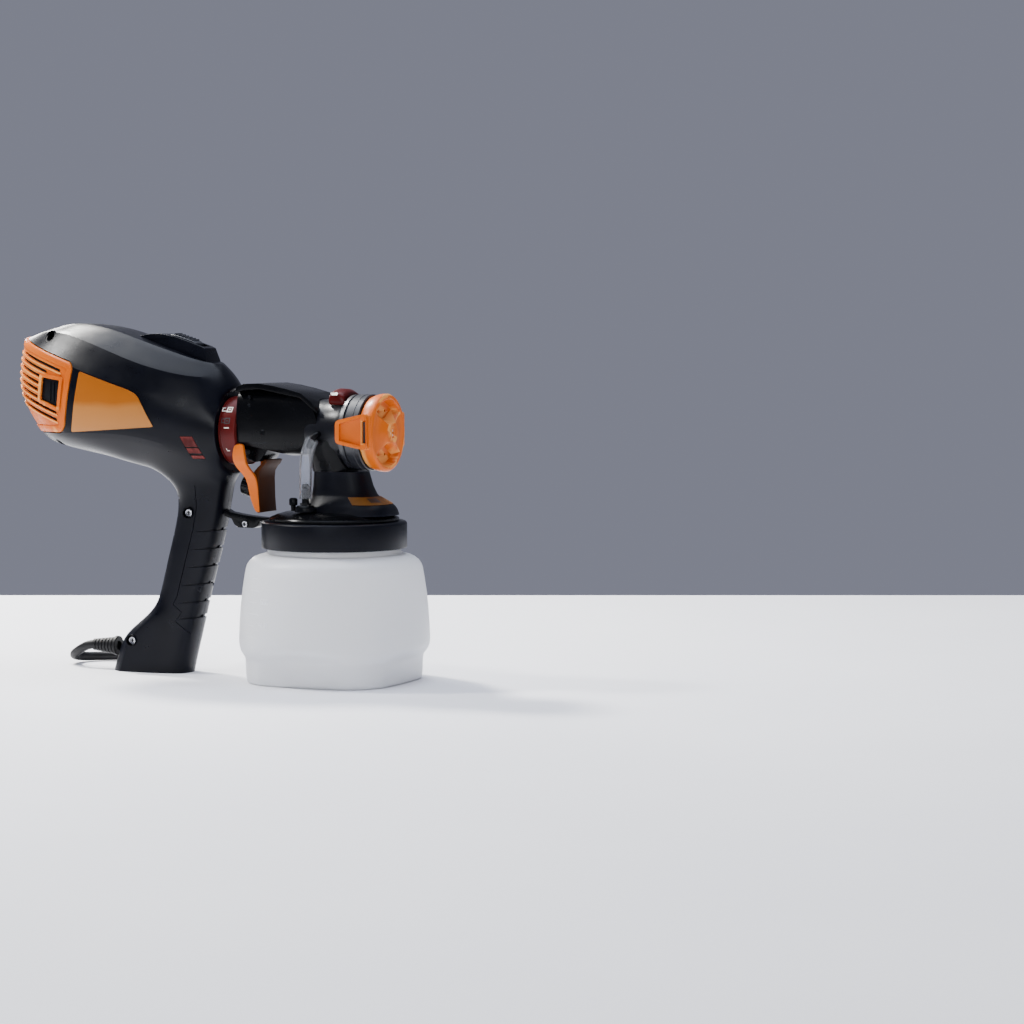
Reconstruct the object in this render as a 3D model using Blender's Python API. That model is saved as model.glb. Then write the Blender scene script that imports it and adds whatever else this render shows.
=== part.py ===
"""Hand-held HVLP turbine paint sprayer: turbine body, gun front and translucent paint cup.

Sizes are in millimetres and are turned into metres by MM.
The origin is the centre of the cup's base, +X is the spray direction and +Z is up.
"""
import math

import bpy
import bmesh
from mathutils import Matrix, Vector

MM = 0.001
GAP = 0.3

# Driving dimensions, in millimetres
SPRAY_Z = 203.5
SHELL_WALL = 2.4
PORT_RADIUS = 22.0
NECK_FRONT_X = -93.2
COLLAR_RADIUS = 28.3
COLLAR_X = (-92.6, -77.0)
BARREL_RADIUS = 26.5
BARREL_FRONT_X = 17.7
NUT_RADIUS = 31.0
NUT_X = (18.0, 36.0)
CAP_RADIUS = 31.6
CAP_FACE_X = 47.0
EAR_TIP_X = 18.2
LID_RADIUS = 59.5
LID_Z = (109.2, 131.2)
CUP_WALL = 1.8
NECK_RADIUS = 54.6
RIM_Z = 124.0
TRIGGER_PIVOT = (-71.9, 0.0, 186.5)
IMPELLER_X = -233.0
MOTOR_Z = 236.0
VENT_X = -9.8
VENT_Y = -31.8
CORD_RADIUS = 3.8

NAVY = (0.018, 0.021, 0.032)
GLOSS_BLACK = (0.006, 0.006, 0.008)
ORANGE = (0.80, 0.22, 0.03)
AMBER = (0.70, 0.27, 0.05)
RED = (0.22, 0.015, 0.012)
MILK = (0.86, 0.86, 0.90)


def clear_scene():
    for obj in list(bpy.data.objects):
        bpy.data.objects.remove(obj, do_unlink=True)


def material(name, colour, roughness, metallic=0.0):
    mat = bpy.data.materials.new(name)
    mat.use_nodes = True
    shader = mat.node_tree.nodes["Principled BSDF"]
    shader.inputs["Base Color"].default_value = (colour[0], colour[1], colour[2], 1.0)
    shader.inputs["Roughness"].default_value = roughness
    shader.inputs["Metallic"].default_value = metallic
    return mat


def place(bm, name, mat, origin=(0.0, 0.0, 0.0), smooth=True):
    """Turn a bmesh in millimetres into an object whose origin is at the given point."""
    shift = Matrix.Translation(-Vector(origin))
    scale = Matrix.Diagonal((MM, MM, MM, 1.0))
    bmesh.ops.transform(bm, matrix=scale @ shift, verts=bm.verts)
    mesh = bpy.data.meshes.new(name)
    for face in bm.faces:
        face.smooth = smooth
    bm.to_mesh(mesh)
    bm.free()
    if smooth:
        mesh.set_sharp_from_angle(angle=math.radians(35.0))
    obj = bpy.data.objects.new(name, mesh)
    obj.location = Vector(origin) * MM
    mesh.materials.append(mat)
    bpy.context.scene.collection.objects.link(obj)
    return obj


def boolean(obj, bm, operation, label):
    """Join, cut or keep a region of an object with a hidden closed solid."""
    bmesh.ops.recalc_face_normals(bm, faces=bm.faces)
    cutter = place(bm, obj.name + "_" + label, obj.data.materials[0])
    cutter.hide_render = True
    cutter.display_type = "WIRE"
    modifier = obj.modifiers.new(label, "BOOLEAN")
    modifier.operation = operation
    modifier.solver = "EXACT"
    modifier.object = cutter
    return cutter


def cut(obj, bm, label):
    return boolean(obj, bm, "DIFFERENCE", label)


def join(obj, bm, label):
    return boolean(obj, bm, "UNION", label)


def keep(obj, bm, label):
    return boolean(obj, bm, "INTERSECT", label)


# Shape helpers

def axis_point(axis, centre, along, radial, angle):
    c = radial * math.cos(angle)
    s = radial * math.sin(angle)
    if axis == "X":
        return (along, centre[0] + c, centre[1] + s)
    if axis == "Y":
        return (centre[0] + c, along, centre[1] + s)
    return (centre[0] + c, centre[1] + s, along)


def turned(axis, centre, profile, count=32, closed=False, bm=None):
    """Turn a profile of (along, radius) points about an axis through centre."""
    bm = bm or bmesh.new()
    rings = []
    for along, radius in profile:
        if radius <= 0.0:
            rings.append([bm.verts.new(axis_point(axis, centre, along, 0.0, 0.0))])
            continue
        ring = []
        for k in range(count):
            angle = 2.0 * math.pi * k / count
            ring.append(bm.verts.new(axis_point(axis, centre, along, radius, angle)))
        rings.append(ring)
    pairs = list(zip(rings, rings[1:]))
    if closed:
        pairs.append((rings[-1], rings[0]))
    for a, b in pairs:
        skin(bm, a, b)
    if not closed:
        for ring in (rings[0], rings[-1]):
            if len(ring) > 1:
                bm.faces.new(ring)
    bmesh.ops.recalc_face_normals(bm, faces=bm.faces)
    return bm


def skin(bm, a, b):
    """Join two rings of equal length, or a ring and a single point."""
    count = max(len(a), len(b))
    for k in range(count):
        n = (k + 1) % count
        if len(a) == 1:
            bm.faces.new((a[0], b[n], b[k]))
        elif len(b) == 1:
            bm.faces.new((a[k], a[n], b[0]))
        else:
            bm.faces.new((a[k], a[n], b[n], b[k]))


def disc(axis, centre, start, end, radius, count=24, bevel=0.0):
    """Solid cylinder with optional chamfers."""
    if bevel:
        profile = [(start, radius - bevel), (start + bevel, radius), (end - bevel, radius), (end, radius - bevel)]
    else:
        profile = [(start, radius), (end, radius)]
    return turned(axis, centre, profile, count)


def tube(axis, centre, start, end, outer, inner, count=24):
    profile = [(start, outer), (end, outer), (end, inner), (start, inner)]
    return turned(axis, centre, profile, count, closed=True)


def prism(outline, low, high, axis="Y", bm=None):
    """Extrude a closed outline along Y (outline in X, Z), Z (outline in X, Y) or X (outline in Y, Z)."""
    bm = bm or bmesh.new()

    def point(pair, depth):
        if axis == "Y":
            return (pair[0], depth, pair[1])
        if axis == "Z":
            return (pair[0], pair[1], depth)
        return (depth, pair[0], pair[1])

    near = [bm.verts.new(point(pair, low)) for pair in outline]
    far = [bm.verts.new(point(pair, high)) for pair in outline]
    skin(bm, near, far)
    bm.faces.new(near)
    bm.faces.new(far)
    bmesh.ops.recalc_face_normals(bm, faces=bm.faces)
    return bm


def box(x, y, z, bm=None):
    outline = [(x[0], z[0]), (x[1], z[0]), (x[1], z[1]), (x[0], z[1])]
    return prism(outline, y[0], y[1], bm=bm)


def loft(rings, bm=None):
    """Closed solid through rings of equal length."""
    bm = bm or bmesh.new()
    made = [[bm.verts.new(point) for point in ring] for ring in rings]
    for a, b in zip(made, made[1:]):
        skin(bm, a, b)
    bm.faces.new(made[0])
    bm.faces.new(made[-1])
    bmesh.ops.recalc_face_normals(bm, faces=bm.faces)
    return bm


def smooth_path(route, count):
    """Catmull-Rom curve read at equal steps of its own length."""
    points = [Vector(p) for p in route]
    points = [points[0] * 2.0 - points[1]] + points + [points[-1] * 2.0 - points[-2]]
    fine = []
    for k in range(1, len(points) - 2):
        p0, p1, p2, p3 = points[k - 1], points[k], points[k + 1], points[k + 2]
        for step in range(20):
            t = step / 20.0
            fine.append(0.5 * ((2.0 * p1) + (p2 - p0) * t + (2.0 * p0 - 5.0 * p1 + 4.0 * p2 - p3) * t * t
                               + (3.0 * p1 - p0 - 3.0 * p2 + p3) * t * t * t))
    fine.append(points[-2])
    lengths = [0.0]
    for a, b in zip(fine, fine[1:]):
        lengths.append(lengths[-1] + (b - a).length)
    result = []
    index = 0
    for k in range(count):
        target = lengths[-1] * k / (count - 1)
        while index < len(lengths) - 2 and lengths[index + 1] < target:
            index += 1
        span = lengths[index + 1] - lengths[index]
        t = (target - lengths[index]) / span if span > 0 else 0.0
        result.append(fine[index].lerp(fine[index + 1], t))
    return result


def swept_rings(points, radius, sides, up=Vector((0.0, 1.0, 0.0))):
    rings = []
    for k, point in enumerate(points):
        before = points[max(k - 1, 0)]
        after = points[min(k + 1, len(points) - 1)]
        tangent = (after - before).normalized()
        side = tangent.cross(up).normalized()
        over = side.cross(tangent).normalized()
        ring = []
        for step in range(sides):
            angle = 2.0 * math.pi * step / sides
            ring.append(point + side * radius * math.cos(angle) + over * radius * math.sin(angle))
        rings.append(ring)
    return rings


def swept_tube(route, outer, inner, steps, sides):
    """Open-ended pipe along a smooth route."""
    points = smooth_path(route, steps)
    bm = bmesh.new()
    out_rings = [[bm.verts.new(p) for p in ring] for ring in swept_rings(points, outer, sides)]
    in_rings = [[bm.verts.new(p) for p in ring] for ring in swept_rings(points, inner, sides)]
    for a, b in zip(out_rings, out_rings[1:]):
        skin(bm, a, b)
    for a, b in zip(in_rings, in_rings[1:]):
        skin(bm, b, a)
    skin(bm, in_rings[0], out_rings[0])
    skin(bm, out_rings[-1], in_rings[-1])
    bmesh.ops.recalc_face_normals(bm, faces=bm.faces)
    return bm


# Turbine housing and handle: one smooth form shared by the shells, the filter cover and the labels.
# Each level runs from the rear centre (column 0) along one side to the front centre (column 10).

LEVEL_BOTTOM = [(-263, 0, 191), (-259, 13, 190.5), (-246, 25, 188), (-226, 31, 183.5), (-198, 32, 178.5),
                (-162, 21, 172), (-142, 21, 168), (-118, 20, 166), (-100, 16, 164), (-94.5, 8, 163), (-93, 0, 163)]
LEVEL_LOW = [(-273, 0, 199), (-267, 19, 199), (-250, 38, 199.5), (-229, 49, 200.5), (-200, 52, 201.5),
             (-166, 50, 201), (-138, 43, 194), (-112, 34, 184), (-97, 24, 174), (-90.5, 13, 169.5), (-89, 0, 168.5)]
LEVEL_MID = [(-301, 0, 235), (-294, 21, 234), (-267, 42, 232), (-228, 52, 230), (-198, 54.5, 226),
             (-164, 53, 221), (-136, 46.5, 214), (-110, 38.5, 204.5)]
LEVEL_BAND = [(-291, 0, 280), (-284, 21, 277.5), (-260, 39, 270), (-225, 49, 258), (-196, 52, 248.5),
              (-164, 50.5, 238.5), (-137, 44.5, 232), (-109, 36, 226), (-96, 25, 233), (-88.5, 13, 237),
              (-86.5, 0, 238.5)]
LEVEL_FACET = [(-285, 0, 285.5), (-277, 15, 286), (-252, 26, 287.5), (-224, 34, 281), (-196, 38.5, 271.5),
               (-166, 41, 260.5), (-140, 38, 253), (-116, 31, 248), (-102, 21, 248), (-96.5, 11, 249.5),
               (-95, 0, 250.5)]
LEVEL_RIDGE = [(-264, 0, 292), (-259, 7, 291.8), (-240, 13, 293.8), (-216, 16, 290.8), (-193, 19, 286),
               (-164, 21, 276.5), (-141, 20, 269), (-121, 17, 262.5), (-109, 12, 259.5), (-104.5, 6, 258.5),
               (-103.5, 0, 258.5)]
LAST = 10

# Handle rings: rear point, front point and half width
HANDLE_RINGS = [
    ((-150.0, 161.0), (-96.0, 157.0), 18.5),
    ((-141.5, 148.0), (-99.0, 141.0), 17.3),
    ((-146.0, 123.0), (-103.4, 118.0), 17.0),
    ((-152.6, 101.0), (-109.6, 96.0), 17.0),
    ((-158.8, 75.0), (-117.0, 72.0), 17.2),
    ((-164.0, 56.0), (-122.3, 50.0), 17.4),
    ((-180.0, 43.0), (-126.5, 32.0), 17.8),
    ((-197.5, 30.0), (-130.0, 18.0), 18.2),
    ((-203.0, 14.0), (-132.5, 8.0), 18.6),
    ((-207.2, 0.0), (-134.3, 0.0), 19.0),
]


def body_form():
    """Closed outer form with an open round port at the front of the neck."""
    bm = bmesh.new()
    crease = bm.edges.layers.float.new("crease_edge")
    levels = [LEVEL_BOTTOM, LEVEL_LOW, LEVEL_MID, LEVEL_BAND, LEVEL_FACET, LEVEL_RIDGE]
    grid = {}
    for row, level in enumerate(levels):
        for col, (x, y, z) in enumerate(level):
            if col in (0, LAST):
                vert = bm.verts.new((x, 0.0, z))
                grid[row, col, -1] = vert
                grid[row, col, 1] = vert
            else:
                grid[row, col, -1] = bm.verts.new((x, -y, z))
                grid[row, col, 1] = bm.verts.new((x, y, z))
    for row in range(5):
        last_col = 7 if row in (1, 2) else LAST
        for side in (-1, 1):
            for col in range(last_col):
                bm.faces.new((grid[row, col, side], grid[row, col + 1, side],
                              grid[row + 1, col + 1, side], grid[row + 1, col, side]))
    cap_across(bm, grid, 5, 0, LAST)
    cap_across(bm, grid, 0, 0, 5)
    neck = [grid[1, LAST, 1]]
    neck += [grid[1, col, 1] for col in (9, 8, 7)]
    neck += [grid[2, 7, 1]]
    neck += [grid[3, col, 1] for col in (7, 8, 9, 10)]
    neck += [grid[3, col, -1] for col in (9, 8, 7)]
    neck += [grid[2, 7, -1]]
    neck += [grid[1, col, -1] for col in (7, 8, 9)]
    outer = port_ring(bm, NECK_FRONT_X, 33.0)
    inner = port_ring(bm, NECK_FRONT_X, PORT_RADIUS)
    skin(bm, neck, outer)
    skin(bm, outer, inner)
    rear = bm.verts.new((-163.0, 0.0, 171.5))
    handle = [rear]
    handle += [grid[0, col, 1] for col in (5, 6, 7, 8, 9)]
    handle += [grid[0, LAST, 1]]
    handle += [grid[0, col, -1] for col in (9, 8, 7, 6, 5)]
    old = [face for face in bm.faces if grid[0, 5, 1] in face.verts and grid[0, 5, -1] in face.verts]
    for face in old:
        bm.faces.remove(face)
    bm.faces.new((grid[0, 4, 1], grid[0, 5, 1], rear))
    bm.faces.new((grid[0, 4, -1], rear, grid[0, 5, -1]))
    bm.faces.new((grid[0, 4, 1], rear, grid[0, 4, -1]))
    rings = [handle]
    for rear_point, front_point, half in HANDLE_RINGS:
        rings.append(handle_ring(bm, rear_point, front_point, half))
    for a, b in zip(rings, rings[1:]):
        skin(bm, a, b)
    bm.faces.new(rings[-1])
    bmesh.ops.recalc_face_normals(bm, faces=bm.faces)
    if bm.calc_volume(signed=True) < 0:
        bmesh.ops.reverse_faces(bm, faces=bm.faces)
    chains = []
    for side in (-1, 1):
        chains.append(([grid[1, col, side] for col in range(8)], 0.45))
        chains.append(([grid[3, col, side] for col in range(8)], 0.55))
        chains.append(([grid[4, col, side] for col in range(LAST)], 0.6))
        chains.append(([grid[5, col, side] for col in range(LAST + 1)], 0.6))
        chains.append(([grid[3, 0, side], grid[3, 1, side], grid[3, 2, side]], 0.3))
    chains.append((outer + outer[:1], 0.8))
    chains.append((inner + inner[:1], 1.0))
    chains.append((rings[-1] + rings[-1][:1], 1.0))
    for chain, value in chains:
        for a, b in zip(chain, chain[1:]):
            edge = bm.edges.get((a, b))
            if edge:
                edge[crease] = value
    return bm


def cap_across(bm, grid, row, first, last):
    """Close one level from side to side."""
    for col in range(first, last):
        verts = [grid[row, col, -1], grid[row, col + 1, -1], grid[row, col + 1, 1], grid[row, col, 1]]
        unique = []
        for vert in verts:
            if vert not in unique:
                unique.append(vert)
        bm.faces.new(unique)


def port_ring(bm, x, radius):
    ring = []
    for k in range(16):
        angle = math.radians(-90.0 + 22.5 * k)
        ring.append(bm.verts.new((x, radius * math.cos(angle), SPRAY_Z + radius * math.sin(angle))))
    return ring


def handle_ring(bm, rear_point, front_point, half):
    shape = [(0.0, 0.0), (0.06, 0.72), (0.32, 1.0), (0.66, 1.0), (0.92, 0.78), (0.99, 0.40), (1.0, 0.0)]
    rear_x, rear_z = rear_point
    front_x, front_z = front_point
    points = []
    for t, w in shape:
        points.append((rear_x + (front_x - rear_x) * t, w * half, rear_z + (front_z - rear_z) * t))
    ring = [bm.verts.new(p) for p in points]
    for x, y, z in reversed(points[1:-1]):
        ring.append(bm.verts.new((x, -y, z)))
    return ring


def body_skin(name, mat, wall, offset, level=1):
    """One wall that follows the body form."""
    obj = place(body_form(), name, mat)
    subdivide = obj.modifiers.new("smooth", "SUBSURF")
    subdivide.levels = level
    subdivide.render_levels = level
    thicken = obj.modifiers.new("wall", "SOLIDIFY")
    thicken.thickness = wall * MM
    thicken.offset = offset
    thicken.use_even_offset = True
    thicken.use_rim = True
    return obj


# Outlines on the side view (X, Z)
COVER_ZONE = [(-330, 293.5), (-292, 281.6), (-221.0, 259.4), (-217.8, 254.5), (-226.0, 206.0),
              (-231.0, 201.2), (-330, 201.2)]
LABEL_ZONE = [(-209.8, 252.2), (-164.7, 237.6), (-157.5, 234.0), (-154.5, 230.5), (-142.4, 207.0), (-218.3, 201.8)]
VENT_ZONE = [(-122.0, 199.5), (-111.5, 199.5), (-103.5, 180.5), (-114.5, 180.5)]
LATCH_ZONE = [(-249.5, 246.5), (-233.5, 244.0), (-236.0, 222.5), (-251.5, 228.5)]


def grow(outline, amount):
    """Move every corner of an outline away from its middle along the corner's bisector."""
    count = len(outline)
    area = sum(outline[k][0] * outline[(k + 1) % count][1] - outline[(k + 1) % count][0] * outline[k][1]
               for k in range(count))
    sign = 1.0 if area > 0 else -1.0
    grown = []
    for k in range(count):
        a = Vector(outline[k - 1])
        b = Vector(outline[k])
        c = Vector(outline[(k + 1) % count])
        first = (b - a).normalized()
        second = (c - b).normalized()
        normal_1 = Vector((first.y, -first.x)) * sign
        normal_2 = Vector((second.y, -second.x)) * sign
        bisector = (normal_1 + normal_2).normalized()
        reach = amount / max(bisector.dot(normal_1), 0.3)
        grown.append(tuple(b + bisector * reach))
    return grown


def build_housing(mats):
    for name, side in (("housing_right", -1), ("housing_left", 1)):
        half = body_skin(name, mats["housing"], SHELL_WALL, -1.0)
        y_range = (-90.0, -0.15) if side < 0 else (0.15, 90.0)
        keep(half, box((-340, -40), y_range, (-20, 330)), "half")
        cut(half, prism(grow(COVER_ZONE, 0.45), -95, 95), "cover_opening")
        near, far = (20.0, 60.0) if side > 0 else (-60.0, -20.0)
        cut(half, prism(VENT_ZONE, near, far), "vent_window")
        cut(half, turned("X", (0.0, 19.5), [(-222.0, 6.2), (-188.0, 5.2)], 16), "cord_hole")
        hood = [(-170, 278.5), (-158, 283.0), (-142, 280.0), (-112, 270.2), (-107.6, 268.5), (-106.4, 259.0),
                (-110, 252.0), (-170, 268.0)]
        low, high = (-11.0, -0.15) if side < 0 else (0.15, 11.0)
        join(half, prism(hood, low, high), "hood")
        slot = [(-153.0, 300.0), (-117.0, 300.0), (-117.0, 267.0), (-153.0, 277.0)]
        cut(half, prism(slot, -8.0, 8.0), "slider_slot")
        if side < 0:
            cut(half, disc("Y", (-254.0, 279.0), -60.0, -12.0, 4.6, 14), "screw_rear_top_hole")
            cut(half, disc("Y", (-243.0, 191.5), -60.0, -11.0, 3.6, 12), "screw_rear_bottom_hole")
            cut(half, disc("Y", (-127.0, 135.0), -40.0, -10.0, 3.5, 14), "screw_top_hole")
            cut(half, disc("Y", (-181.8, 26.5), -40.0, -10.0, 3.5, 14), "screw_foot_hole")


def build_cover(mats):
    cover = body_skin("filter_cover", mats["orange"], 2.0, -1.0)
    keep(cover, prism(COVER_ZONE, -95, 95), "zone")
    bars = bmesh.new()
    for k in range(8):
        z = 262.5 - 7.4 * k
        reach_front = -231.0 if k in (0, 7) else -257.0
        drop = (0.29, 0.29)
        x0 = -320.0
        x1 = reach_front - 1.2 * k * 0.5
        z0 = z + (-(x0) - 231.0) * drop[0]
        z1 = z + (-(x1) - 231.0) * drop[1]
        outline = [(x0, z0 - 1.6), (x1, z1 - 1.6), (x1, z1 + 1.6), (x0, z0 + 1.6)]
        for low, high in ((-70.0, -2.2), (2.2, 70.0)):
            prism(outline, low, high, bm=bars)
    cut(cover, bars, "louvres")
    for side, label in ((-1, "right"), (1, "left")):
        low, high = (-70.0, -30.0) if side < 0 else (30.0, 70.0)
        cut(cover, prism(grow(LATCH_ZONE, 0.4), low, high), "window_" + label)
        latch = body_skin("filter_latch_" + label, mats["latch"], 3.4, -1.1)
        keep(latch, prism(LATCH_ZONE, low, high), "zone")
        label_obj = body_skin("side_label_" + label, mats["label"], 0.6, 2.7)
        keep(label_obj, prism(LABEL_ZONE, low, high), "zone")
        vent = body_skin("vent_insert_" + label, mats["red"], 3.0, -1.4)
        low, high = (-60.0, -20.0) if side < 0 else (20.0, 60.0)
        keep(vent, prism(grow(VENT_ZONE, -0.4), low, high), "zone")
    foam = prism([(-272, 258), (-264, 258), (-256, 216), (-264, 216)], -24, 24)
    place(foam, "air_filter", mats["foam"])


def build_turbine(mats):
    centre = (0.0, MOTOR_Z)
    place(disc("X", centre, -214.0, -168.0, 25.0, 24, 2.0), "motor_can", mats["steel"])
    shaft = disc("X", centre, -243.0, -214.4, 2.5, 12)
    place(shaft, "motor_shaft", mats["steel"], (IMPELLER_X, 0.0, MOTOR_Z))
    wheel = turned("X", centre, [(-238.0, 3.0), (-238.0, 8.0), (-231.0, 27.0), (-228.0, 27.0), (-228.0, 3.0)],
                   24, closed=True)
    impeller = place(wheel, "turbine_impeller", mats["white_part"], (IMPELLER_X, 0.0, MOTOR_Z))
    blades = bmesh.new()
    for k in range(9):
        blade = box((-241.0, -229.0), (-0.7, 0.7), (MOTOR_Z + 7.0, MOTOR_Z + 26.0))
        turn = Matrix.Translation((0, 0, MOTOR_Z)) @ Matrix.Rotation(2 * math.pi * k / 9, 4, "X")
        turn = turn @ Matrix.Translation((0, 0, -MOTOR_Z))
        bmesh.ops.transform(blade, matrix=turn, verts=blade.verts)
        mesh = bpy.data.meshes.new("blade")
        blade.to_mesh(mesh)
        blade.free()
        blades.from_mesh(mesh)
        bpy.data.meshes.remove(mesh)
    join(impeller, blades, "blades")
    shroud = turned("X", centre, [(-246.0, 12.0), (-246.0, 31.0), (-219.0, 31.0), (-219.0, 14.0), (-221.5, 14.0),
                                  (-221.5, 29.0), (-244.0, 29.0), (-244.0, 12.0)], 24, closed=True)
    place(shroud, "turbine_shroud", mats["dark_part"])
    duct = swept_tube([(-160, 0, 222), (-145, 0, 216), (-128, 0, 208), (-112, 0, 203.5), (-96, 0, 203.5)],
                      19.5, 17.5, 7, 16)
    place(duct, "air_duct", mats["dark_part"])
    seal = tube("X", (0.0, SPRAY_Z), -91.5, -76.5, 19.0, 15.5, 24)
    place(seal, "duct_seal", mats["rubber"])
    place(box((-146, -126), (-7, 7), (243.5, 251.5)), "switch_module", mats["dark_part"])


def build_switch_slider(mats):
    outline = [(-147.0, 275.8), (-124.0, 269.4), (-124.0, 275.4), (-128.0, 277.6), (-143.0, 282.4), (-147.0, 282.2)]
    slider = place(prism(outline, -7.0, 7.0), "power_switch_slider", mats["slider"])
    ribs = bmesh.new()
    for k in range(4):
        x = -141.5 + 4.6 * k
        z = 281.0 - 1.5 * k
        prism([(x, z - 1.5), (x + 1.8, z - 2.0), (x + 1.6, z + 2.0), (x + 0.3, z + 2.4)], -6.0, 6.0, bm=ribs)
    join(slider, ribs, "ribs")


def build_handle_hardware(mats):
    for name, x, z, near in (("handle_screw_top", -127.0, 135.0, -16.4), ("handle_screw_foot", -181.8, 26.5, -16.8)):
        profile = [(near, 0.0), (near, 3.0), (near + 2.2, 3.0), (near + 2.2, 1.5), (near + 13.0, 1.5), (near + 13.0, 0.0)]
        screw = place(turned("Y", (x, z), profile, 12), name, mats["steel"])
        cut(screw, box((x - 2.0, x + 2.0), (near - 1.0, near + 0.9), (z - 0.4, z + 0.4)), "drive_slot")
    for name, x, z, near, end in (("housing_screw_top", -254.0, 279.0, -24.0, -12.0),
                                  ("housing_screw_rear", -243.0, 191.5, -18.0, -12.5)):
        profile = [(near, 0.0), (near, 3.0), (near + 2.2, 3.0), (near + 2.2, 1.5), (end, 1.5), (end, 0.0)]
        place(turned("Y", (x, z), profile, 12), name, mats["steel"])
    arm = [(-99.1, 137.8), (-92.0, 135.4), (-79.0, 133.4), (-60.2, 131.8), (-60.2, 128.6), (-66.5, 128.8),
           (-68.5, 124.6), (-72.0, 123.2), (-86.0, 123.2), (-90.0, 125.8), (-92.5, 130.4), (-99.3, 132.6)]
    guard = place(prism(arm, -6.0, 6.0), "guard_arm", mats["gloss"])
    cut(guard, disc("Y", (-79.5, 126.5), -10.0, 10.0, 1.9, 12), "screw_hole")
    screw = turned("Y", (-79.5, 126.5), [(-7.8, 0.0), (-7.8, 2.6), (-6.3, 2.6), (-6.3, 1.5), (5.5, 1.5), (5.5, 0.0)], 12)
    place(screw, "guard_screw", mats["steel"])


def build_gun(mats):
    collar = tube("X", (0.0, SPRAY_Z), COLLAR_X[0], COLLAR_X[1], COLLAR_RADIUS, 22.6, 36)
    place(collar, "lock_collar", mats["red"], (0.0, 0.0, SPRAY_Z))
    side = [(-76.6, 193.0), (-76.6, 236.0), (-70.0, 238.6), (-55.0, 239.2), (-18.5, 232.4), (-5.5, 221.6),
            (-2.5, 214.0), (-6.0, 196.0), (-16.0, 184.5), (-32.0, 184.0), (-58.0, 190.0)]
    body = place(prism(side, -23.3, 23.3), "nozzle_body", mats["gloss"])
    bevel = body.modifiers.new("edges", "BEVEL")
    bevel.width = 2.5 * MM
    bevel.segments = 2
    bevel.limit_method = "ANGLE"
    join(body, disc("X", (0.0, SPRAY_Z), -40.0, BARREL_FRONT_X, BARREL_RADIUS, 36), "barrel")
    join(body, disc("X", (0.0, SPRAY_Z), 10.0, 29.5, 20.0, 24), "thread_core")
    boss = [(-76.4, 196.0), (-76.4, 183.5), (-72.5, 179.0), (-66.0, 175.8), (-54.0, 174.6), (-47.0, 176.6),
            (-44.0, 189.0), (-44.0, 196.0)]
    join(body, prism(boss, -13.0, 13.0), "trigger_boss")
    rings = []
    stations = [(132.0, -34.0, 55.0, 38.0), (137.0, -27.0, 56.5, 27.0), (141.0, -22.0, 55.5, 22.5),
                (146.5, -19.0, 52.6, 20.0), (153.0, -17.0, 39.6, 18.5), (160.0, -16.0, 36.2, 17.5),
                (171.6, -15.0, 32.8, 17.0), (171.9, -15.0, 17.4, 17.0), (200.0, -15.0, 17.4, 17.0)]
    for z, x0, x1, half in stations:
        mid = 0.5 * (x0 + x1)
        reach = 0.5 * (x1 - x0)
        ring = []
        for k in range(20):
            angle = 2.0 * math.pi * k / 20
            c = math.cos(angle)
            s = math.sin(angle)
            ring.append((mid + reach * math.copysign(abs(c) ** 0.7, c), half * math.copysign(abs(s) ** 0.7, s), z))
        rings.append(ring)
    join(body, loft(rings), "pedestal")
    plate = turned("Z", (0.0, 0.0), [(131.6, 0.0), (131.6, 53.0), (134.0, 53.0), (138.4, 40.0), (139.5, 0.0)], 40)
    join(body, plate, "base_plate")
    cut(body, disc("Z", (12.0, 0.0), 120.0, 158.0, 5.4, 16), "suction_bore")
    cut(body, disc("Y", (TRIGGER_PIVOT[0], TRIGGER_PIVOT[2]), -40.0, 40.0, 2.4, 14), "pivot_bore")
    cut(body, disc("X", (0.0, SPRAY_Z), -90.0, 60.0, 5.2, 16), "needle_bore")
    cut(body, disc("X", (0.0, SPRAY_Z), -90.0, -58.0, 19.5, 24), "air_inlet")
    cut(body, disc("Z", (VENT_X, VENT_Y), 136.0, 160.0, 4.4, 14), "valve_seat")
    top = [(-77.5, 239.0), (-70.0, 242.6), (-56.0, 242.9), (-30.0, 238.6), (-17.0, 235.4), (-3.4, 223.0),
           (-2.6, 220.9), (-5.2, 222.0), (-18.3, 232.9), (-54.9, 239.7), (-69.9, 239.1), (-75.9, 236.6)]
    cover = place(prism(top, -23.6, 23.6), "nozzle_top_cover", mats["gloss"])
    cut(cover, disc("X", (0.0, SPRAY_Z), -60.0, 30.0, BARREL_RADIUS + 0.4, 36), "barrel_arch")
    place(disc("Y", (TRIGGER_PIVOT[0], TRIGGER_PIVOT[2]), -27.4, 27.4, 2.1, 14), "trigger_pin", mats["steel"])


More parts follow.
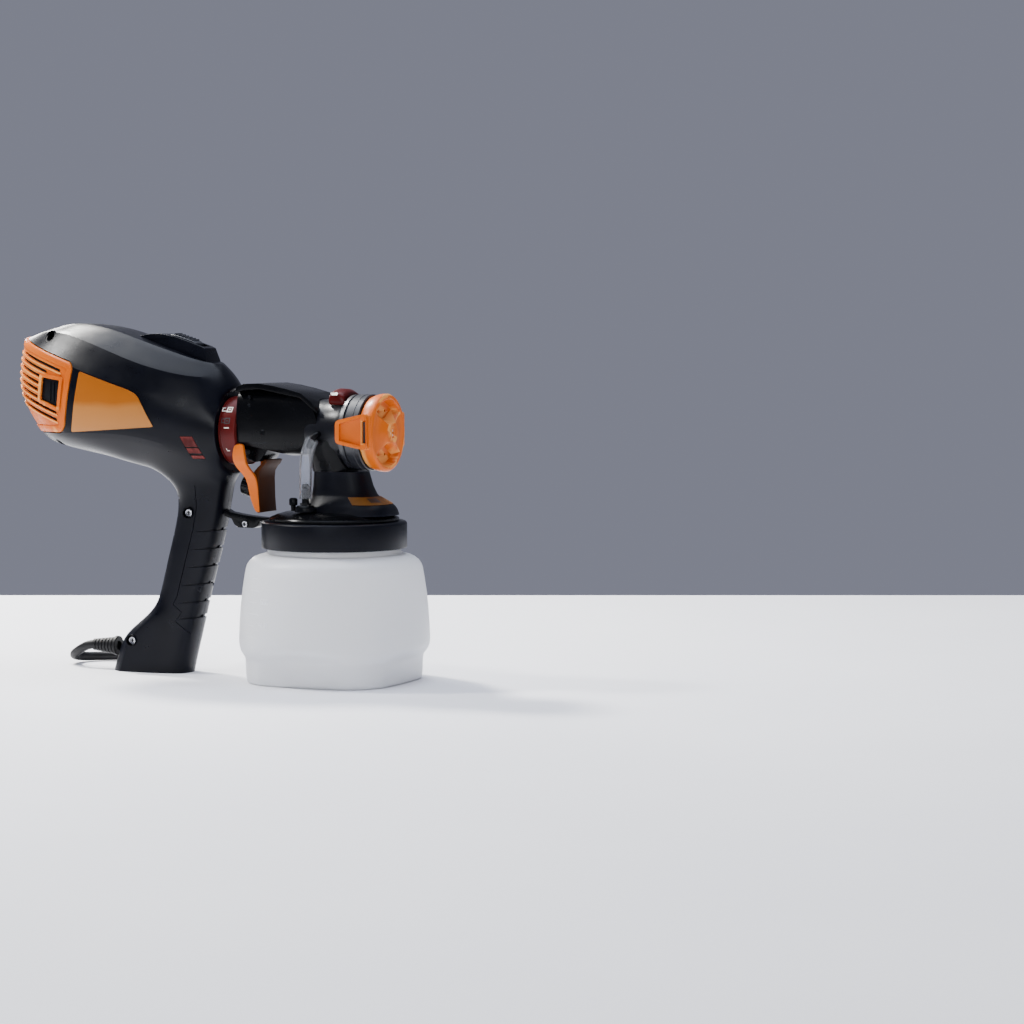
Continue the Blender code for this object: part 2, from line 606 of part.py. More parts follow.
def build_trigger(mats):
    stations = [(193.4, -74.2, -69.4, 26.9), (191.2, -76.2, -67.4, 26.9), (186.0, -76.7, -66.7, 26.9),
                (180.5, -77.3, -66.2, 26.0), (175.0, -77.0, -65.0, 22.8), (170.0, -75.8, -62.4, 18.6),
                (165.0, -71.6, -60.4, 15.6), (158.0, -68.8, -59.4, 14.6), (150.0, -67.3, -58.4, 14.0),
                (142.0, -64.0, -57.0, 14.0), (138.0, -60.0, -55.0, 14.0)]
    arms = []
    for side in (-1, 1):
        rings = []
        for z, x0, x1, out in stations:
            y0 = side * out
            y1 = side * (out - 3.3)
            rings.append([(x0, y0, z), (x1, y0, z), (x1, y1, z), (x0, y1, z)])
        arms.append(loft(rings))
    front = [(-49.5, 173.0), (-54.0, 165.5), (-55.2, 156.0), (-54.2, 146.0), (-52.2, 139.8), (-55.2, 138.2),
             (-60.0, 138.4), (-62.6, 146.0), (-63.4, 156.0), (-62.2, 166.0), (-58.0, 170.8), (-52.0, 173.2)]
    trigger = place(prism(front, -13.2, 13.2), "trigger", mats["orange"], TRIGGER_PIVOT)
    for arm, label in zip(arms, ("arm_right", "arm_left")):
        join(trigger, arm, label)
    cut(trigger, disc("Y", (TRIGGER_PIVOT[0], TRIGGER_PIVOT[2]), -60.0, 60.0, 2.5, 14), "pivot_bore")
    cut(trigger, knob_shape(4.8, 9.6, -26.0, 9.0), "knob_bore")
    place(knob_shape(4.3, 9.0, -17.0, 6.6), "flow_knob", mats["gloss"], (-69.5, 0.0, 156.0))


def knob_shape(stem, head, rear, front):
    """Knob whose axis is tilted along the trigger's rear face normal."""
    bm = turned("X", (0.0, 0.0), [(rear, 0.0), (rear, head), (rear + 9.0, head), (rear + 9.0, stem), (front, stem),
                                  (front, 0.0)], 20)
    tilt = Matrix.Translation((-69.5, 0.0, 156.0)) @ Matrix.Rotation(math.radians(14.0), 4, "Y")
    bmesh.ops.transform(bm, matrix=tilt, verts=bm.verts)
    return bm


def build_needle(mats):
    centre = (0.0, SPRAY_Z)
    profile = [(-55.0, 0.0), (-55.0, 3.2), (-50.0, 3.2), (-50.0, 1.6), (30.0, 1.6), (39.0, 0.5), (39.0, 0.0)]
    place(turned("X", centre, profile, 12), "needle", mats["steel"])
    tip = [(30.0, 2.4), (30.0, 8.0), (36.0, 8.0), (40.5, 3.4), (46.5, 3.2), (46.5, 1.3), (37.0, 1.3), (33.0, 2.4)]
    place(turned("X", centre, tip, 20, closed=True), "fluid_nozzle", mats["white_part"])
    place(tube("X", centre, -12.0, -6.0, 4.8, 2.0, 16), "needle_seal", mats["rubber"])


def build_front(mats):
    centre = (0.0, SPRAY_Z)
    nut = [(NUT_X[0], 30.4), (NUT_X[0] + 4.6, 30.8), (NUT_X[0] + 4.8, 29.6), (NUT_X[0] + 5.8, 29.6),
           (NUT_X[0] + 6.0, 31.0), (NUT_X[1], 31.0),
           (NUT_X[1], 26.8), (NUT_X[1] - 4.0, 26.8), (NUT_X[1] - 4.0, 20.4), (NUT_X[0], 20.4)]
    place(turned("X", centre, nut, 36, closed=True), "nozzle_nut", mats["gloss"], (0.0, 0.0, SPRAY_Z))
    rings = []
    for k in range(9):
        angle = math.radians(58.0 + 64.0 * k / 8)
        c = math.cos(angle)
        s = math.sin(angle)
        ring = []
        for x, radius in ((3.0, 27.0), (17.4, 27.0), (17.4, 31.6), (14.0, 34.0), (6.0, 34.0), (3.0, 31.0)):
            ring.append((x, -radius * c, SPRAY_Z + radius * s))
        rings.append(ring)
    place(loft(rings), "pattern_selector", mats["red"], (0.0, 0.0, SPRAY_Z))
    face = [(36.4, 22.0), (36.4, 26.3), (41.0, 30.4), (44.0, CAP_RADIUS), (CAP_FACE_X + 1.8, CAP_RADIUS - 0.4),
            (CAP_FACE_X + 1.8, CAP_RADIUS - 2.4), (CAP_FACE_X, CAP_RADIUS - 3.2), (CAP_FACE_X - 1.0, 12.0),
            (CAP_FACE_X + 6.0, 8.6), (CAP_FACE_X + 6.0, 3.8), (42.6, 3.8), (39.0, 9.6), (39.0, 22.0)]
    cap = place(turned("X", centre, face, 36, closed=True), "air_cap", mats["orange"], (0.0, 0.0, SPRAY_Z))
    for side, label in ((-1, "right"), (1, "left")):
        y0, y1 = (-35.6, -31.8) if side < 0 else (31.8, 35.6)
        ear = [(CAP_FACE_X, 190.4), (CAP_FACE_X, 219.8), (EAR_TIP_X + 1.4, 213.7), (EAR_TIP_X, 212.0),
               (EAR_TIP_X, 197.4), (EAR_TIP_X + 1.4, 196.0)]
        join(cap, prism(ear, y0, y1), "ear_" + label)
        y0, y1 = (-35.4, -26.0) if side < 0 else (26.0, 35.4)
        join(cap, box((41.6, CAP_FACE_X - 0.2), (y0, y1), (190.8, 219.2)), "root_" + label)
    for sign, label in ((1, "top"), (-1, "bottom")):
        z = SPRAY_Z + sign * 16.0
        horn = loft([[(CAP_FACE_X - 3.0, -5.0, z - 5.0), (CAP_FACE_X - 3.0, 5.0, z - 5.0),
                      (CAP_FACE_X - 3.0, 5.0, z + 5.0), (CAP_FACE_X - 3.0, -5.0, z + 5.0)],
                     [(CAP_FACE_X + 5.0, -2.6, z - 2.2), (CAP_FACE_X + 5.0, 2.6, z - 2.2),
                      (CAP_FACE_X + 5.0, 2.6, z + 2.2), (CAP_FACE_X + 5.0, -2.6, z + 2.2)]])
        join(cap, horn, "horn_" + label)


def build_cup(mats):
    levels = [(0.0, 60.0, 40.0), (2.5, 63.4, 42.0), (9.0, 64.8, 43.0), (19.0, 65.4, 44.0), (23.0, 67.5, 48.0),
              (28.0, 74.4, 68.0), (33.0, 78.0, 77.0), (58.0, 77.0, 77.0), (76.0, 74.8, 74.8),
              (92.0, 72.4, 72.4), (97.5, 70.4, 70.4), (101.8, 65.6, 65.6), (104.0, 58.5, 58.5),
              (105.0, NECK_RADIUS, NECK_RADIUS), (RIM_Z, NECK_RADIUS, NECK_RADIUS)]
    rings = [cup_ring(z, half, corner) for z, half, corner in levels]
    inner = []
    for z, half, corner in reversed(levels):
        if z < 1.0:
            continue
        top = z if z >= RIM_Z else max(z, CUP_WALL + 0.6)
        inner.append(cup_ring(top - (0.0 if z >= RIM_Z else 1.0 if z > 96 else 0.0), half - CUP_WALL,
                              max(corner - CUP_WALL, 10.0)))
    place(loft(rings + inner), "cup", mats["cup"])
    lid = [(LID_Z[0], 56.4), (LID_Z[0], LID_RADIUS - 0.8), (LID_Z[0] + 1.0, LID_RADIUS), (LID_Z[1] - 1.6, LID_RADIUS),
           (LID_Z[1], LID_RADIUS - 2.0), (LID_Z[1], 18.0), (126.8, 18.0), (126.8, 56.4)]
    place(turned("Z", (0.0, 0.0), lid, 44, closed=True), "cup_lid", mats["lid"])
    place(tube("Z", (0.0, 0.0), RIM_Z + 0.3, 126.5, 54.4, 49.0, 40), "cup_gasket", mats["rubber"])
    place(tube("Z", (12.0, 0.0), 7.0, 157.0, 5.0, 3.6, 16), "suction_tube", mats["clear"])


def cup_ring(z, half, corner):
    """Square with round corners; it is a circle where the corner equals the half width."""
    ring = []
    count = 32
    for k in range(count):
        angle = 2.0 * math.pi * (k + 0.5) / count
        c = math.cos(angle)
        s = math.sin(angle)
        flat = half - corner
        cx = flat * math.copysign(1.0, c)
        cy = flat * math.copysign(1.0, s)
        ring.append((cx + corner * c, cy + corner * s, z))
    return ring


def build_vent(mats):
    place(disc("Z", (VENT_X, VENT_Y), 139.6, 145.0, 9.0, 20, 0.8), "valve_body", mats["gloss"])
    nipple = [(145.3, 0.0), (145.3, 4.6), (147.0, 4.6), (148.0, 2.9), (158.0, 3.0), (159.5, 3.4), (162.5, 2.4),
              (162.5, 0.0)]
    place(turned("Z", (VENT_X, VENT_Y), nipple, 14), "tube_nipple", mats["gloss"])
    place(disc("Z", (VENT_X - 11.9, VENT_Y - 1.0), 140.4, 151.0, 2.4, 14, 0.6), "valve_cap", mats["gloss"])
    hose = swept_tube([(VENT_X, VENT_Y, 150.5), (VENT_X, VENT_Y, 163), (VENT_X + 0.3, VENT_Y, 175),
                       (VENT_X + 2.4, VENT_Y, 186), (VENT_X + 8.6, VENT_Y, 196.5)], 5.2, 4.0, 8, 12)
    place(hose, "vent_tube", mats["clear"])


CORD_ROUTE = [(-207, 0, 19.5), (-219, 0, 19.5), (-230, 0, 19.5), (-238, 0.9, 17.5), (-246, 3.6, 13.6),
              (-254.5, 9.6, 9.4), (-259, 19, 6.6), (-258, 31, 4.8), (-250, 41, 4.3), (-238, 48, 4.3), (-226, 56, 4.3),
              (-219, 67, 4.3), (-218, 80, 4.3), (-222, 95, 4.3), (-228, 110, 4.3), (-234, 125, 4.3),
              (-240, 140, 4.3)]


def build_cord(mats):
    points = smooth_path(CORD_ROUTE, 34)
    curve = bpy.data.curves.new("power_cord", "CURVE")
    curve.dimensions = "3D"
    curve.bevel_depth = CORD_RADIUS * MM
    curve.bevel_resolution = 2
    curve.use_fill_caps = True
    spline = curve.splines.new("POLY")
    spline.points.add(len(points) - 1)
    for item, point in zip(spline.points, points):
        item.co = (point.x * MM, point.y * MM, point.z * MM, 1.0)
    curve.materials.append(mats["rubber"])
    obj = bpy.data.objects.new("power_cord", curve)
    bpy.context.scene.collection.objects.link(obj)
    lead_route = [(-196, 0, 19.5), (-184, 0, 24), (-166, 0, 42), (-152, -2, 72), (-142, -4, 104),
                  (-132, -5, 140), (-131, -8, 160), (-134, -16, 176), (-142, -24, 192), (-147, -26, 212),
                  (-156, -23, 232), (-160, -11, 244), (-148.8, -3, 247)]
    lead = loft(swept_rings(smooth_path(lead_route, 20), 2.2, 8))
    place(lead, "internal_lead", mats["rubber"])
    profile = [(-228.5, 4.5), (-228.5, 5.2), (-207.8, 6.8), (-207.8, 8.2), (-205.4, 8.2), (-205.4, 4.3)]
    relief = turned("X", (0.0, 19.5), profile, 16, closed=True)
    place(relief, "cord_strain_relief", mats["rubber"])
    end = points[-1]
    heading = (points[-1] - points[-2]).normalized()
    angle = math.atan2(heading.y, heading.x)
    move = Matrix.Translation((end.x, end.y, 0.0)) @ Matrix.Rotation(angle, 4, "Z")
    rings = []
    for x, y, z0, z1 in ((0.5, 4.5, 0.6, 8.2), (6.0, 5.0, 0.4, 9.0), (14.0, 9.0, 0.2, 12.0), (34.0, 9.5, 0.2, 12.4),
                         (37.0, 9.0, 0.6, 12.0)):
        rings.append([(x, -y, z0), (x, y, z0), (x, y, z1), (x, -y, z1)])
    plug = loft(rings)
    bmesh.ops.transform(plug, matrix=move, verts=plug.verts)
    place(plug, "plug_body", mats["rubber"], smooth=False)
    for name, y in (("plug_blade_1", -6.4), ("plug_blade_2", 6.4)):
        blade = box((37.4, 54.0), (y - 0.8, y + 0.8), (3.0, 9.4))
        bmesh.ops.transform(blade, matrix=move, verts=blade.verts)
        place(blade, name, mats["brass"], smooth=False)


def main():
    clear_scene()
    mats = {
        "housing": material("housing", NAVY, 0.42),
        "orange": material("orange", ORANGE, 0.38),
        "label": material("label", AMBER, 0.35),
        "latch": material("latch", NAVY, 0.5),
        "red": material("red", RED, 0.35),
        "foam": material("foam", (0.05, 0.05, 0.055), 0.95),
        "steel": material("steel", (0.6, 0.6, 0.62), 0.3, 1.0),
        "brass": material("brass", (0.75, 0.6, 0.3), 0.3, 1.0),
        "white_part": material("white_part", (0.8, 0.8, 0.78), 0.45),
        "dark_part": material("dark_part", (0.03, 0.03, 0.035), 0.5),
        "rubber": material("rubber", (0.012, 0.012, 0.013), 0.6),
        "slider": material("slider", (0.012, 0.014, 0.02), 0.5),
        "gloss": material("gloss", GLOSS_BLACK, 0.16),
        "lid": material("lid", (0.008, 0.009, 0.014), 0.3),
        "cup": material("cup", MILK, 0.45),
        "clear": material("clear", (0.75, 0.82, 0.9), 0.1),
    }
    build_housing(mats)
    build_cover(mats)
    build_turbine(mats)
    build_switch_slider(mats)
    build_handle_hardware(mats)
    build_gun(mats)
    build_trigger(mats)
    build_needle(mats)
    build_front(mats)
    build_cup(mats)
    build_vent(mats)
    build_cord(mats)


main()
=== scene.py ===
"""Hand-held HVLP paint sprayer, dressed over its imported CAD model."""
from math import atan2, copysign, cos, pi, radians, sin

import bpy
import bmesh
from mathutils import Matrix, Vector


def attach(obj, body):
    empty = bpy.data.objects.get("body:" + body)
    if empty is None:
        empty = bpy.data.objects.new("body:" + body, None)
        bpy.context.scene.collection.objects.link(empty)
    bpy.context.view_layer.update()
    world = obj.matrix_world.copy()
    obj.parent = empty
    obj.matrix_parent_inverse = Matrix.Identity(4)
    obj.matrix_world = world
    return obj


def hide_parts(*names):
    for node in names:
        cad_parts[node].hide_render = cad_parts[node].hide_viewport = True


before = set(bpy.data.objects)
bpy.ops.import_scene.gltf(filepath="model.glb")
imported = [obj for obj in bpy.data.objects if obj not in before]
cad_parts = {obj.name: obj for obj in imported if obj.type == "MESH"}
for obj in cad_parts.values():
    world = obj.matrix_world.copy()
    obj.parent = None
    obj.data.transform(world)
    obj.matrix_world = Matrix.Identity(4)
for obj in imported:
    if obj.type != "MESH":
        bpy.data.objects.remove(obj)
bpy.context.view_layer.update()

# Sizes are in millimetres and are turned into metres by MM.
MM = 0.001
SPRAY_Z = 203.5
SPRAY_AXIS = (0, SPRAY_Z)
SHELL_WALL = 2.4
PORT_RADIUS = 22
NECK_FRONT_X = -93.2
COLLAR_X = (-92.6, -77)
COLLAR_RADIUS = 28.3
BARREL_RADIUS = 26.5
NUT_X = (18, 36)
CAP_RADIUS = 31.6
CAP_FACE_X = 47
EAR_TIP_X = 18.2
LID_RADIUS = 59.5
LID_Z = (109.2, 131.2)
CUP_WALL = 1.8
NECK_RADIUS = 54.6
RIM_Z = 124
TRIGGER_PIVOT = (-71.9, 186.5)
VENT_X = -9.8
VENT_Y = -31.8
CORD_RADIUS = 3.8
CORD_EXIT = (0, 19.5)
SCREW_TOP = (-251.2, 280.6)
SCREW_REAR = (-243, 191.5)
SCREW_GRIP = (-127, 135)
SCREW_FOOT = (-181.8, 26.5)
SCREW_GUARD = (-79.5, 126.5)
SEAM_GAP = 0.12
HOOD_BROW_Z = 262
HOOD_TAIL_X = -170
THROUGH = (-95, 95)
FLANKS = ((-1, "right"), (1, "left"))
FINE = 3
COARSE = max(FINE - 1, 2)
SIDES = 96
CUP_SIDES = 120

# Half of the body's cage, level by level from its underside to its ridge (X, Y, Z)
LEVEL_BOTTOM = [
    (-263, 0, 191), (-259, 13, 190.5), (-246, 25, 188), (-226, 31, 183.5), (-198, 32, 178.5), (-162, 21, 172),
    (-142, 21, 168), (-118, 20, 166), (-100, 16, 164), (-94.5, 8, 163), (-93, 0, 163),
]
LEVEL_LOW = [
    (-273, 0, 199), (-267, 19, 199), (-250, 38, 199.5), (-229, 49, 200.5), (-200, 52, 201.5), (-166, 50, 201),
    (-138, 43, 194), (-112, 34, 184), (-97, 24, 174), (-90.5, 13, 169.5), (-89, 0, 168.5),
]
LEVEL_MID = [
    (-301, 0, 235), (-294, 21, 234), (-267, 42, 232), (-228, 52, 230), (-198, 54.5, 226), (-164, 53, 221),
    (-136, 46.5, 214), (-110, 38.5, 204.5),
]
LEVEL_BAND = [
    (-291, 0, 280), (-284, 21, 277.5), (-260, 39, 270), (-225, 49, 258), (-196, 52, 248.5), (-164, 50.5, 238.5),
    (-137, 44.5, 232), (-109, 36, 226), (-96, 25, 233), (-88.5, 13, 237), (-86.5, 0, 238.5),
]
LEVEL_FACET = [
    (-285, 0, 280.5), (-277, 15, 282), (-252, 26, 286.5), (-224, 34, 281), (-196, 38.5, 271.5), (-166, 41, 260.5),
    (-140, 38, 253), (-116, 31, 248), (-102, 21, 248), (-96.5, 11, 249.5), (-95, 0, 250.5),
]
LEVEL_RIDGE = [
    (-264, 0, 287.5), (-259, 7, 287.8), (-240, 13, 292.3), (-216, 16, 290.8), (-193, 19, 286), (-164, 21, 276.5),
    (-141, 20, 269), (-121, 17, 262.5), (-109, 12, 259.5), (-104.5, 6, 258.5), (-103.5, 0, 258.5),
]
LAST = 10

# Handle rings: rear point, front point and half width
HANDLE_RINGS = [
    ((-150, 161), (-96, 157), 18.5), ((-141.5, 148), (-99, 141), 17.3), ((-146, 123), (-103.4, 118), 17),
    ((-152.6, 101), (-109.6, 96), 17), ((-158.8, 75), (-117, 72), 17.2), ((-164, 56), (-122.3, 50), 17.4),
    ((-180, 43), (-126.5, 32), 17.8), ((-197.5, 30), (-130, 18), 18.2), ((-203, 14), (-132.5, 8), 18.6),
    ((-207.2, 0), (-134.3, 0), 19),
]

# Outlines on the side view (X, Z)
COVER_ZONE = [
    (-330, 293.5), (-292, 281.6), (-221, 259.4), (-217.8, 254.5), (-226, 206), (-231, 201.2), (-330, 201.2),
]
LABEL_ZONE = [(-209.8, 252.2), (-164.7, 237.6), (-157.5, 234), (-154.5, 230.5), (-142.4, 207), (-218.3, 201.8)]
VENT_ZONE = [(-122, 199.5), (-111.5, 199.5), (-103.5, 180.5), (-114.5, 180.5)]
LATCH_ZONE = [(-249.5, 246.5), (-233.5, 244), (-236, 222.5), (-251.5, 228.5)]
# The latch with a wider gap at its front
LATCH_WINDOW = [(x + (3 if x > -245 else 0), z) for x, z in LATCH_ZONE]

# Middle line of the cord, from the strain relief to the plug
CORD_ROUTE = [
    (-207, 0, 19.5), (-219, 0, 19.5), (-230, 0, 19.5), (-238, 0.9, 17.5), (-246, 3.6, 13.6), (-254.5, 9.6, 9.4),
    (-259, 19, 6.6), (-258, 31, 4.8), (-250, 41, 4.3), (-238, 48, 4.3), (-226, 56, 4.3), (-219, 67, 4.3),
    (-218, 80, 4.3), (-222, 95, 4.3), (-228, 110, 4.3), (-234, 125, 4.3), (-240, 140, 4.3),
]

# Height of each louvre slot at x = 0 and where it stops; all rise by SLOPE towards the rear
SLOT_PLANES = [
    (180.2, -231), (174.4, -246.5), (168.4, -255), (162.2, -256), (156.2, -257), (150.2, -257), (144.4, -235),
    (138.2, -235),
]
SLOPE = 0.3127

# Sections of the pedestal: height, rear, front and half width
PEDESTAL = [
    (136.5, -28, 53.8, 30), (138.6, -25.5, 53.4, 28.8), (141.2, -23.5, 52.6, 27.4), (143.6, -22, 51.2, 25.8),
    (145.2, -21, 49.4, 24.6), (151.6, -17.6, 38, 19), (153.4, -17, 36.2, 18.2), (160, -16, 32.8, 17.3),
    (171.7, -15, 29, 17),
]

# Sections of the cup: height, half width and corner radius
CUP_LEVELS = [
    (0, 61.2, 39), (0.5, 62.6, 40), (1.6, 63.7, 41), (4, 64.3, 42), (9, 64.8, 43), (15, 65.1, 43.5),
    (19, 65.5, 44.5), (21.4, 66.4, 46.5), (23.6, 68.8, 51), (26, 72.2, 60), (28.6, 75.2, 69), (31.4, 77.2, 75),
    (34.6, 78, 77.4), (40, 78, 78), (50, 77.5, 77.5), (60, 76.8, 76.8), (70, 75.7, 75.7), (80, 74.3, 74.3),
    (88, 73.1, 73.1), (92.5, 72.3, 72.3), (96, 71.1, 71.1), (99, 69, 69), (101.4, 66, 66), (103, 62.4, 62.4),
    (104, 58.6, 58.6), (104.5, 55.8, 55.8), (105.4, NECK_RADIUS, NECK_RADIUS),
    (RIM_Z - 0.6, NECK_RADIUS, NECK_RADIUS), (RIM_Z, NECK_RADIUS - 0.5, NECK_RADIUS - 0.5),
]

# Graduation numerals: strokes of each digit, and each stroke's height and column (none for a level one)
DIGITS = {"0": "abcdef", "4": "fgbc", "6": "afgedc"}
STROKES = {"a": (1, None), "g": (0.5, None), "d": (0, None), "f": (0.75, 0), "b": (0.75, 1), "e": (0.25, 0),
           "c": (0.25, 1)}


# Outlines

def corners(outline):
    """Every corner of a closed outline between the one before and the one after."""
    count = len(outline)
    return [[Vector(outline[(k + step) % count]) for step in (-1, 0, 1)] for k in range(count)]


def grow(outline, amount):
    """Move every corner of an outline away from its middle along the corner's bisector."""
    area = sum(b.x * c.y - c.x * b.y for _, b, c in corners(outline))
    sign = 1 if area > 0 else -1
    grown = []
    for a, b, c in corners(outline):
        first = (b - a).normalized()
        second = (c - b).normalized()
        normal_1 = Vector((first.y, -first.x)) * sign
        normal_2 = Vector((second.y, -second.x)) * sign
        bisector = (normal_1 + normal_2).normalized()
        reach = amount / max(bisector.dot(normal_1), 0.3)
        grown.append(tuple(b + bisector * reach))
    return grown


def rounded(outline, radius, steps=5):
    """Outline with round corners."""
    result = []
    for a, b, c in corners(outline):
        first = (a - b).normalized()
        second = (c - b).normalized()
        reach = min(radius, 0.45 * (a - b).length, 0.45 * (c - b).length)
        start = b + first * reach
        end = b + second * reach
        for step in range(steps + 1):
            t = step / steps
            result.append(tuple(start * (1 - t) ** 2 + b * 2 * t * (1 - t) + end * t * t))
    return result


def clipped(outline, low, high):
    """Part of a convex outline between two heights."""
    for limit, sign in ((low, 1), (high, -1)):
        kept = []
        for a, b in zip(outline, outline[1:] + outline[:1]):
            inside_a = (a[1] - limit) * sign >= 0
            inside_b = (b[1] - limit) * sign >= 0
            if inside_a:
                kept.append(a)
            if inside_a != inside_b:
                t = (limit - a[1]) / (b[1] - a[1])
                kept.append((a[0] + (b[0] - a[0]) * t, limit))
        outline = kept
    return outline


def bar(x0, y0, x1, y1):
    return [(x0, y0), (x1, y0), (x1, y1), (x0, y1)]


def span(side, near, far):
    """Range across the body on one side, the right side being negative."""
    return sorted((side * near, side * far))


def turns(count, shift=0):
    """Cosine and sine at equal steps of one turn."""
    angles = [2 * pi * (k + shift) / count for k in range(count)]
    return [(cos(angle), sin(angle)) for angle in angles]


def blunt(value, power):
    """Cosine or sine pushed outwards, which makes a round outline squarer."""
    return copysign(abs(value) ** power, value)


# Shape helpers

def outward(bm):
    """Point all faces out of the solid."""
    bmesh.ops.recalc_face_normals(bm, faces=bm.faces)
    return bm


def ring_of(bm, points):
    return [bm.verts.new(point) for point in points]


def axis_point(axis, centre, along, across, up):
    """Point along an axis that runs through centre."""
    a = centre[0] + across
    b = centre[1] + up
    return {"X": (along, a, b), "Y": (a, along, b), "Z": (a, b, along)}[axis]


def skin(bm, a, b):
    """Join two rings of equal length, or a ring and a single point."""
    count = max(len(a), len(b))
    for k in range(count):
        n = (k + 1) % count
        if len(a) == 1:
            bm.faces.new((a[0], b[n], b[k]))
        elif len(b) == 1:
            bm.faces.new((a[k], a[n], b[0]))
        else:
            bm.faces.new((a[k], a[n], b[n], b[k]))


def turned(axis, centre, profile, count=32, closed=False):
    """Turn a profile of (along, radius) points about an axis through centre."""
    bm = bmesh.new()
    rings = []
    for along, radius in profile:
        around = turns(count) if radius > 0 else [(0, 0)]
        rings.append(ring_of(bm, [axis_point(axis, centre, along, radius * c, radius * s) for c, s in around]))
    for a, b in zip(rings, rings[1:] + rings[:1] if closed else rings[1:]):
        skin(bm, a, b)
    if not closed:
        for ring in (rings[0], rings[-1]):
            if len(ring) > 1:
                bm.faces.new(ring)
    return outward(bm)


def drum(profile, count=SIDES):
    """Ring with a closed profile about the spray axis."""
    return turned("X", SPRAY_AXIS, profile, count, closed=True)


def disc(axis, centre, start, end, radius, count=24):
    return turned(axis, centre, [(start, radius), (end, radius)], count)


def tube(axis, centre, start, end, outer, inner, count=24):
    return turned(axis, centre, bar(start, outer, end, inner), count, closed=True)


def loft(rings):
    """Closed solid through rings of equal length."""
    bm = bmesh.new()
    made = [ring_of(bm, ring) for ring in rings]
    for a, b in zip(made, made[1:]):
        skin(bm, a, b)
    bm.faces.new(made[0])
    bm.faces.new(made[-1])
    return outward(bm)


def prism(outline, low, high, axis="Y"):
    """Extrude a closed outline along Y (outline in X, Z) or X (outline in Y, Z)."""
    return loft([[axis_point(axis, (0, 0), depth, *pair) for pair in outline] for depth in (low, high)])


def box(x, y, z):
    return prism(bar(x[0], z[0], x[1], z[1]), *y)


def smooth_path(route, count):
    """Catmull-Rom curve read at equal steps of its own length."""
    points = [Vector(p) for p in route]
    points = [points[0] * 2 - points[1]] + points + [points[-1] * 2 - points[-2]]
    fine = []
    for k in range(1, len(points) - 2):
        p0, p1, p2, p3 = points[k - 1], points[k], points[k + 1], points[k + 2]
        for step in range(20):
            t = step / 20
            fine.append(0.5 * ((2 * p1) + (p2 - p0) * t + (2 * p0 - 5 * p1 + 4 * p2 - p3) * t * t
                               + (3 * p1 - p0 - 3 * p2 + p3) * t * t * t))
    fine.append(points[-2])
    lengths = [0]
    for a, b in zip(fine, fine[1:]):
        lengths.append(lengths[-1] + (b - a).length)
    result = []
    index = 0
    for k in range(count):
        target = lengths[-1] * k / (count - 1)
        while index < len(lengths) - 2 and lengths[index + 1] < target:
            index += 1
        gap = lengths[index + 1] - lengths[index]
        t = (target - lengths[index]) / gap if gap > 0 else 0
        result.append(fine[index].lerp(fine[index + 1], t))
    return result


def swept_rings(points, radius, sides):
    rings = []
    for k, point in enumerate(points):
        tangent = (points[min(k + 1, len(points) - 1)] - points[max(k - 1, 0)]).normalized()
        side = tangent.cross(Vector((0, 1, 0))).normalized()
        over = side.cross(tangent).normalized()
        rings.append([point + side * radius * c + over * radius * s for c, s in turns(sides)])
    return rings


def swept_tube(route, outer, inner, steps, sides):
    """Open-ended pipe along a smooth route."""
    points = smooth_path(route, steps)
    bm = bmesh.new()
    outside, inside = [[ring_of(bm, ring) for ring in swept_rings(points, radius, sides)]
                       for radius in (outer, inner)]
    for a, b in zip(outside, outside[1:]):
        skin(bm, a, b)
    for a, b in zip(inside, inside[1:]):
        skin(bm, b, a)
    skin(bm, inside[0], outside[0])
    skin(bm, outside[-1], inside[-1])
    return outward(bm)


def moved(bm, matrix):
    bmesh.ops.transform(bm, matrix=matrix, verts=bm.verts)
    return bm


def superellipse(z, x0, x1, half, count=64, power=0.7):
    mid = 0.5 * (x0 + x1)
    reach = 0.5 * (x1 - x0)
    return [(mid + reach * blunt(c, power), half * blunt(s, power), z) for c, s in turns(count)]


def merge(parts):
    """One bmesh that holds several."""
    whole = bmesh.new()
    for bm in parts:
        mesh = bpy.data.meshes.new("part")
        bm.to_mesh(mesh)
        bm.free()
        whole.from_mesh(mesh)
        bpy.data.meshes.remove(mesh)
    return whole


# Materials

def material(name):
    mat = bpy.data.materials.new(name)
    mat.use_nodes = True
    return mat, mat.node_tree, mat.node_tree.nodes["Principled BSDF"]


def feed(node, inputs):
    """Set or link the named sockets of a node."""
    for name, value in inputs.items():
        socket = node.inputs[name]
        if isinstance(value, bpy.types.NodeSocket):
            node.id_data.links.new(value, socket)
        else:
            socket.default_value = value
    return node


def add(tree, kind, **inputs):
    return feed(tree.nodes.new("ShaderNode" + kind), inputs)


def object_place(tree):
    return add(tree, "TexCoord").outputs["Object"]


def noise(tree, scale, detail=3, rough=0.55, place=None):
    place = place or object_place(tree)
    return add(tree, "TexNoise", Scale=scale, Detail=detail, Roughness=rough, Vector=place).outputs["Fac"]


def ramp(tree, source, stops):
    node = add(tree, "ValToRGB", Fac=source)
    while len(node.color_ramp.elements) < len(stops):
        node.color_ramp.elements.new(0.5)
    for element, (position, colour) in zip(node.color_ramp.elements, stops):
        element.position = position
        element.color = (*colour, 1)
    return node.outputs["Color"]


def spread(tree, source, low, high, from_low=0, from_high=1):
    node = feed(add(tree, "MapRange", Value=source),
                {"From Min": from_low, "From Max": from_high, "To Min": low, "To Max": high})
    return node.outputs["Result"]


def bumps(tree, height, strength, distance=0.0004):
    return add(tree, "Bump", Strength=strength, Distance=distance, Height=height).outputs["Normal"]


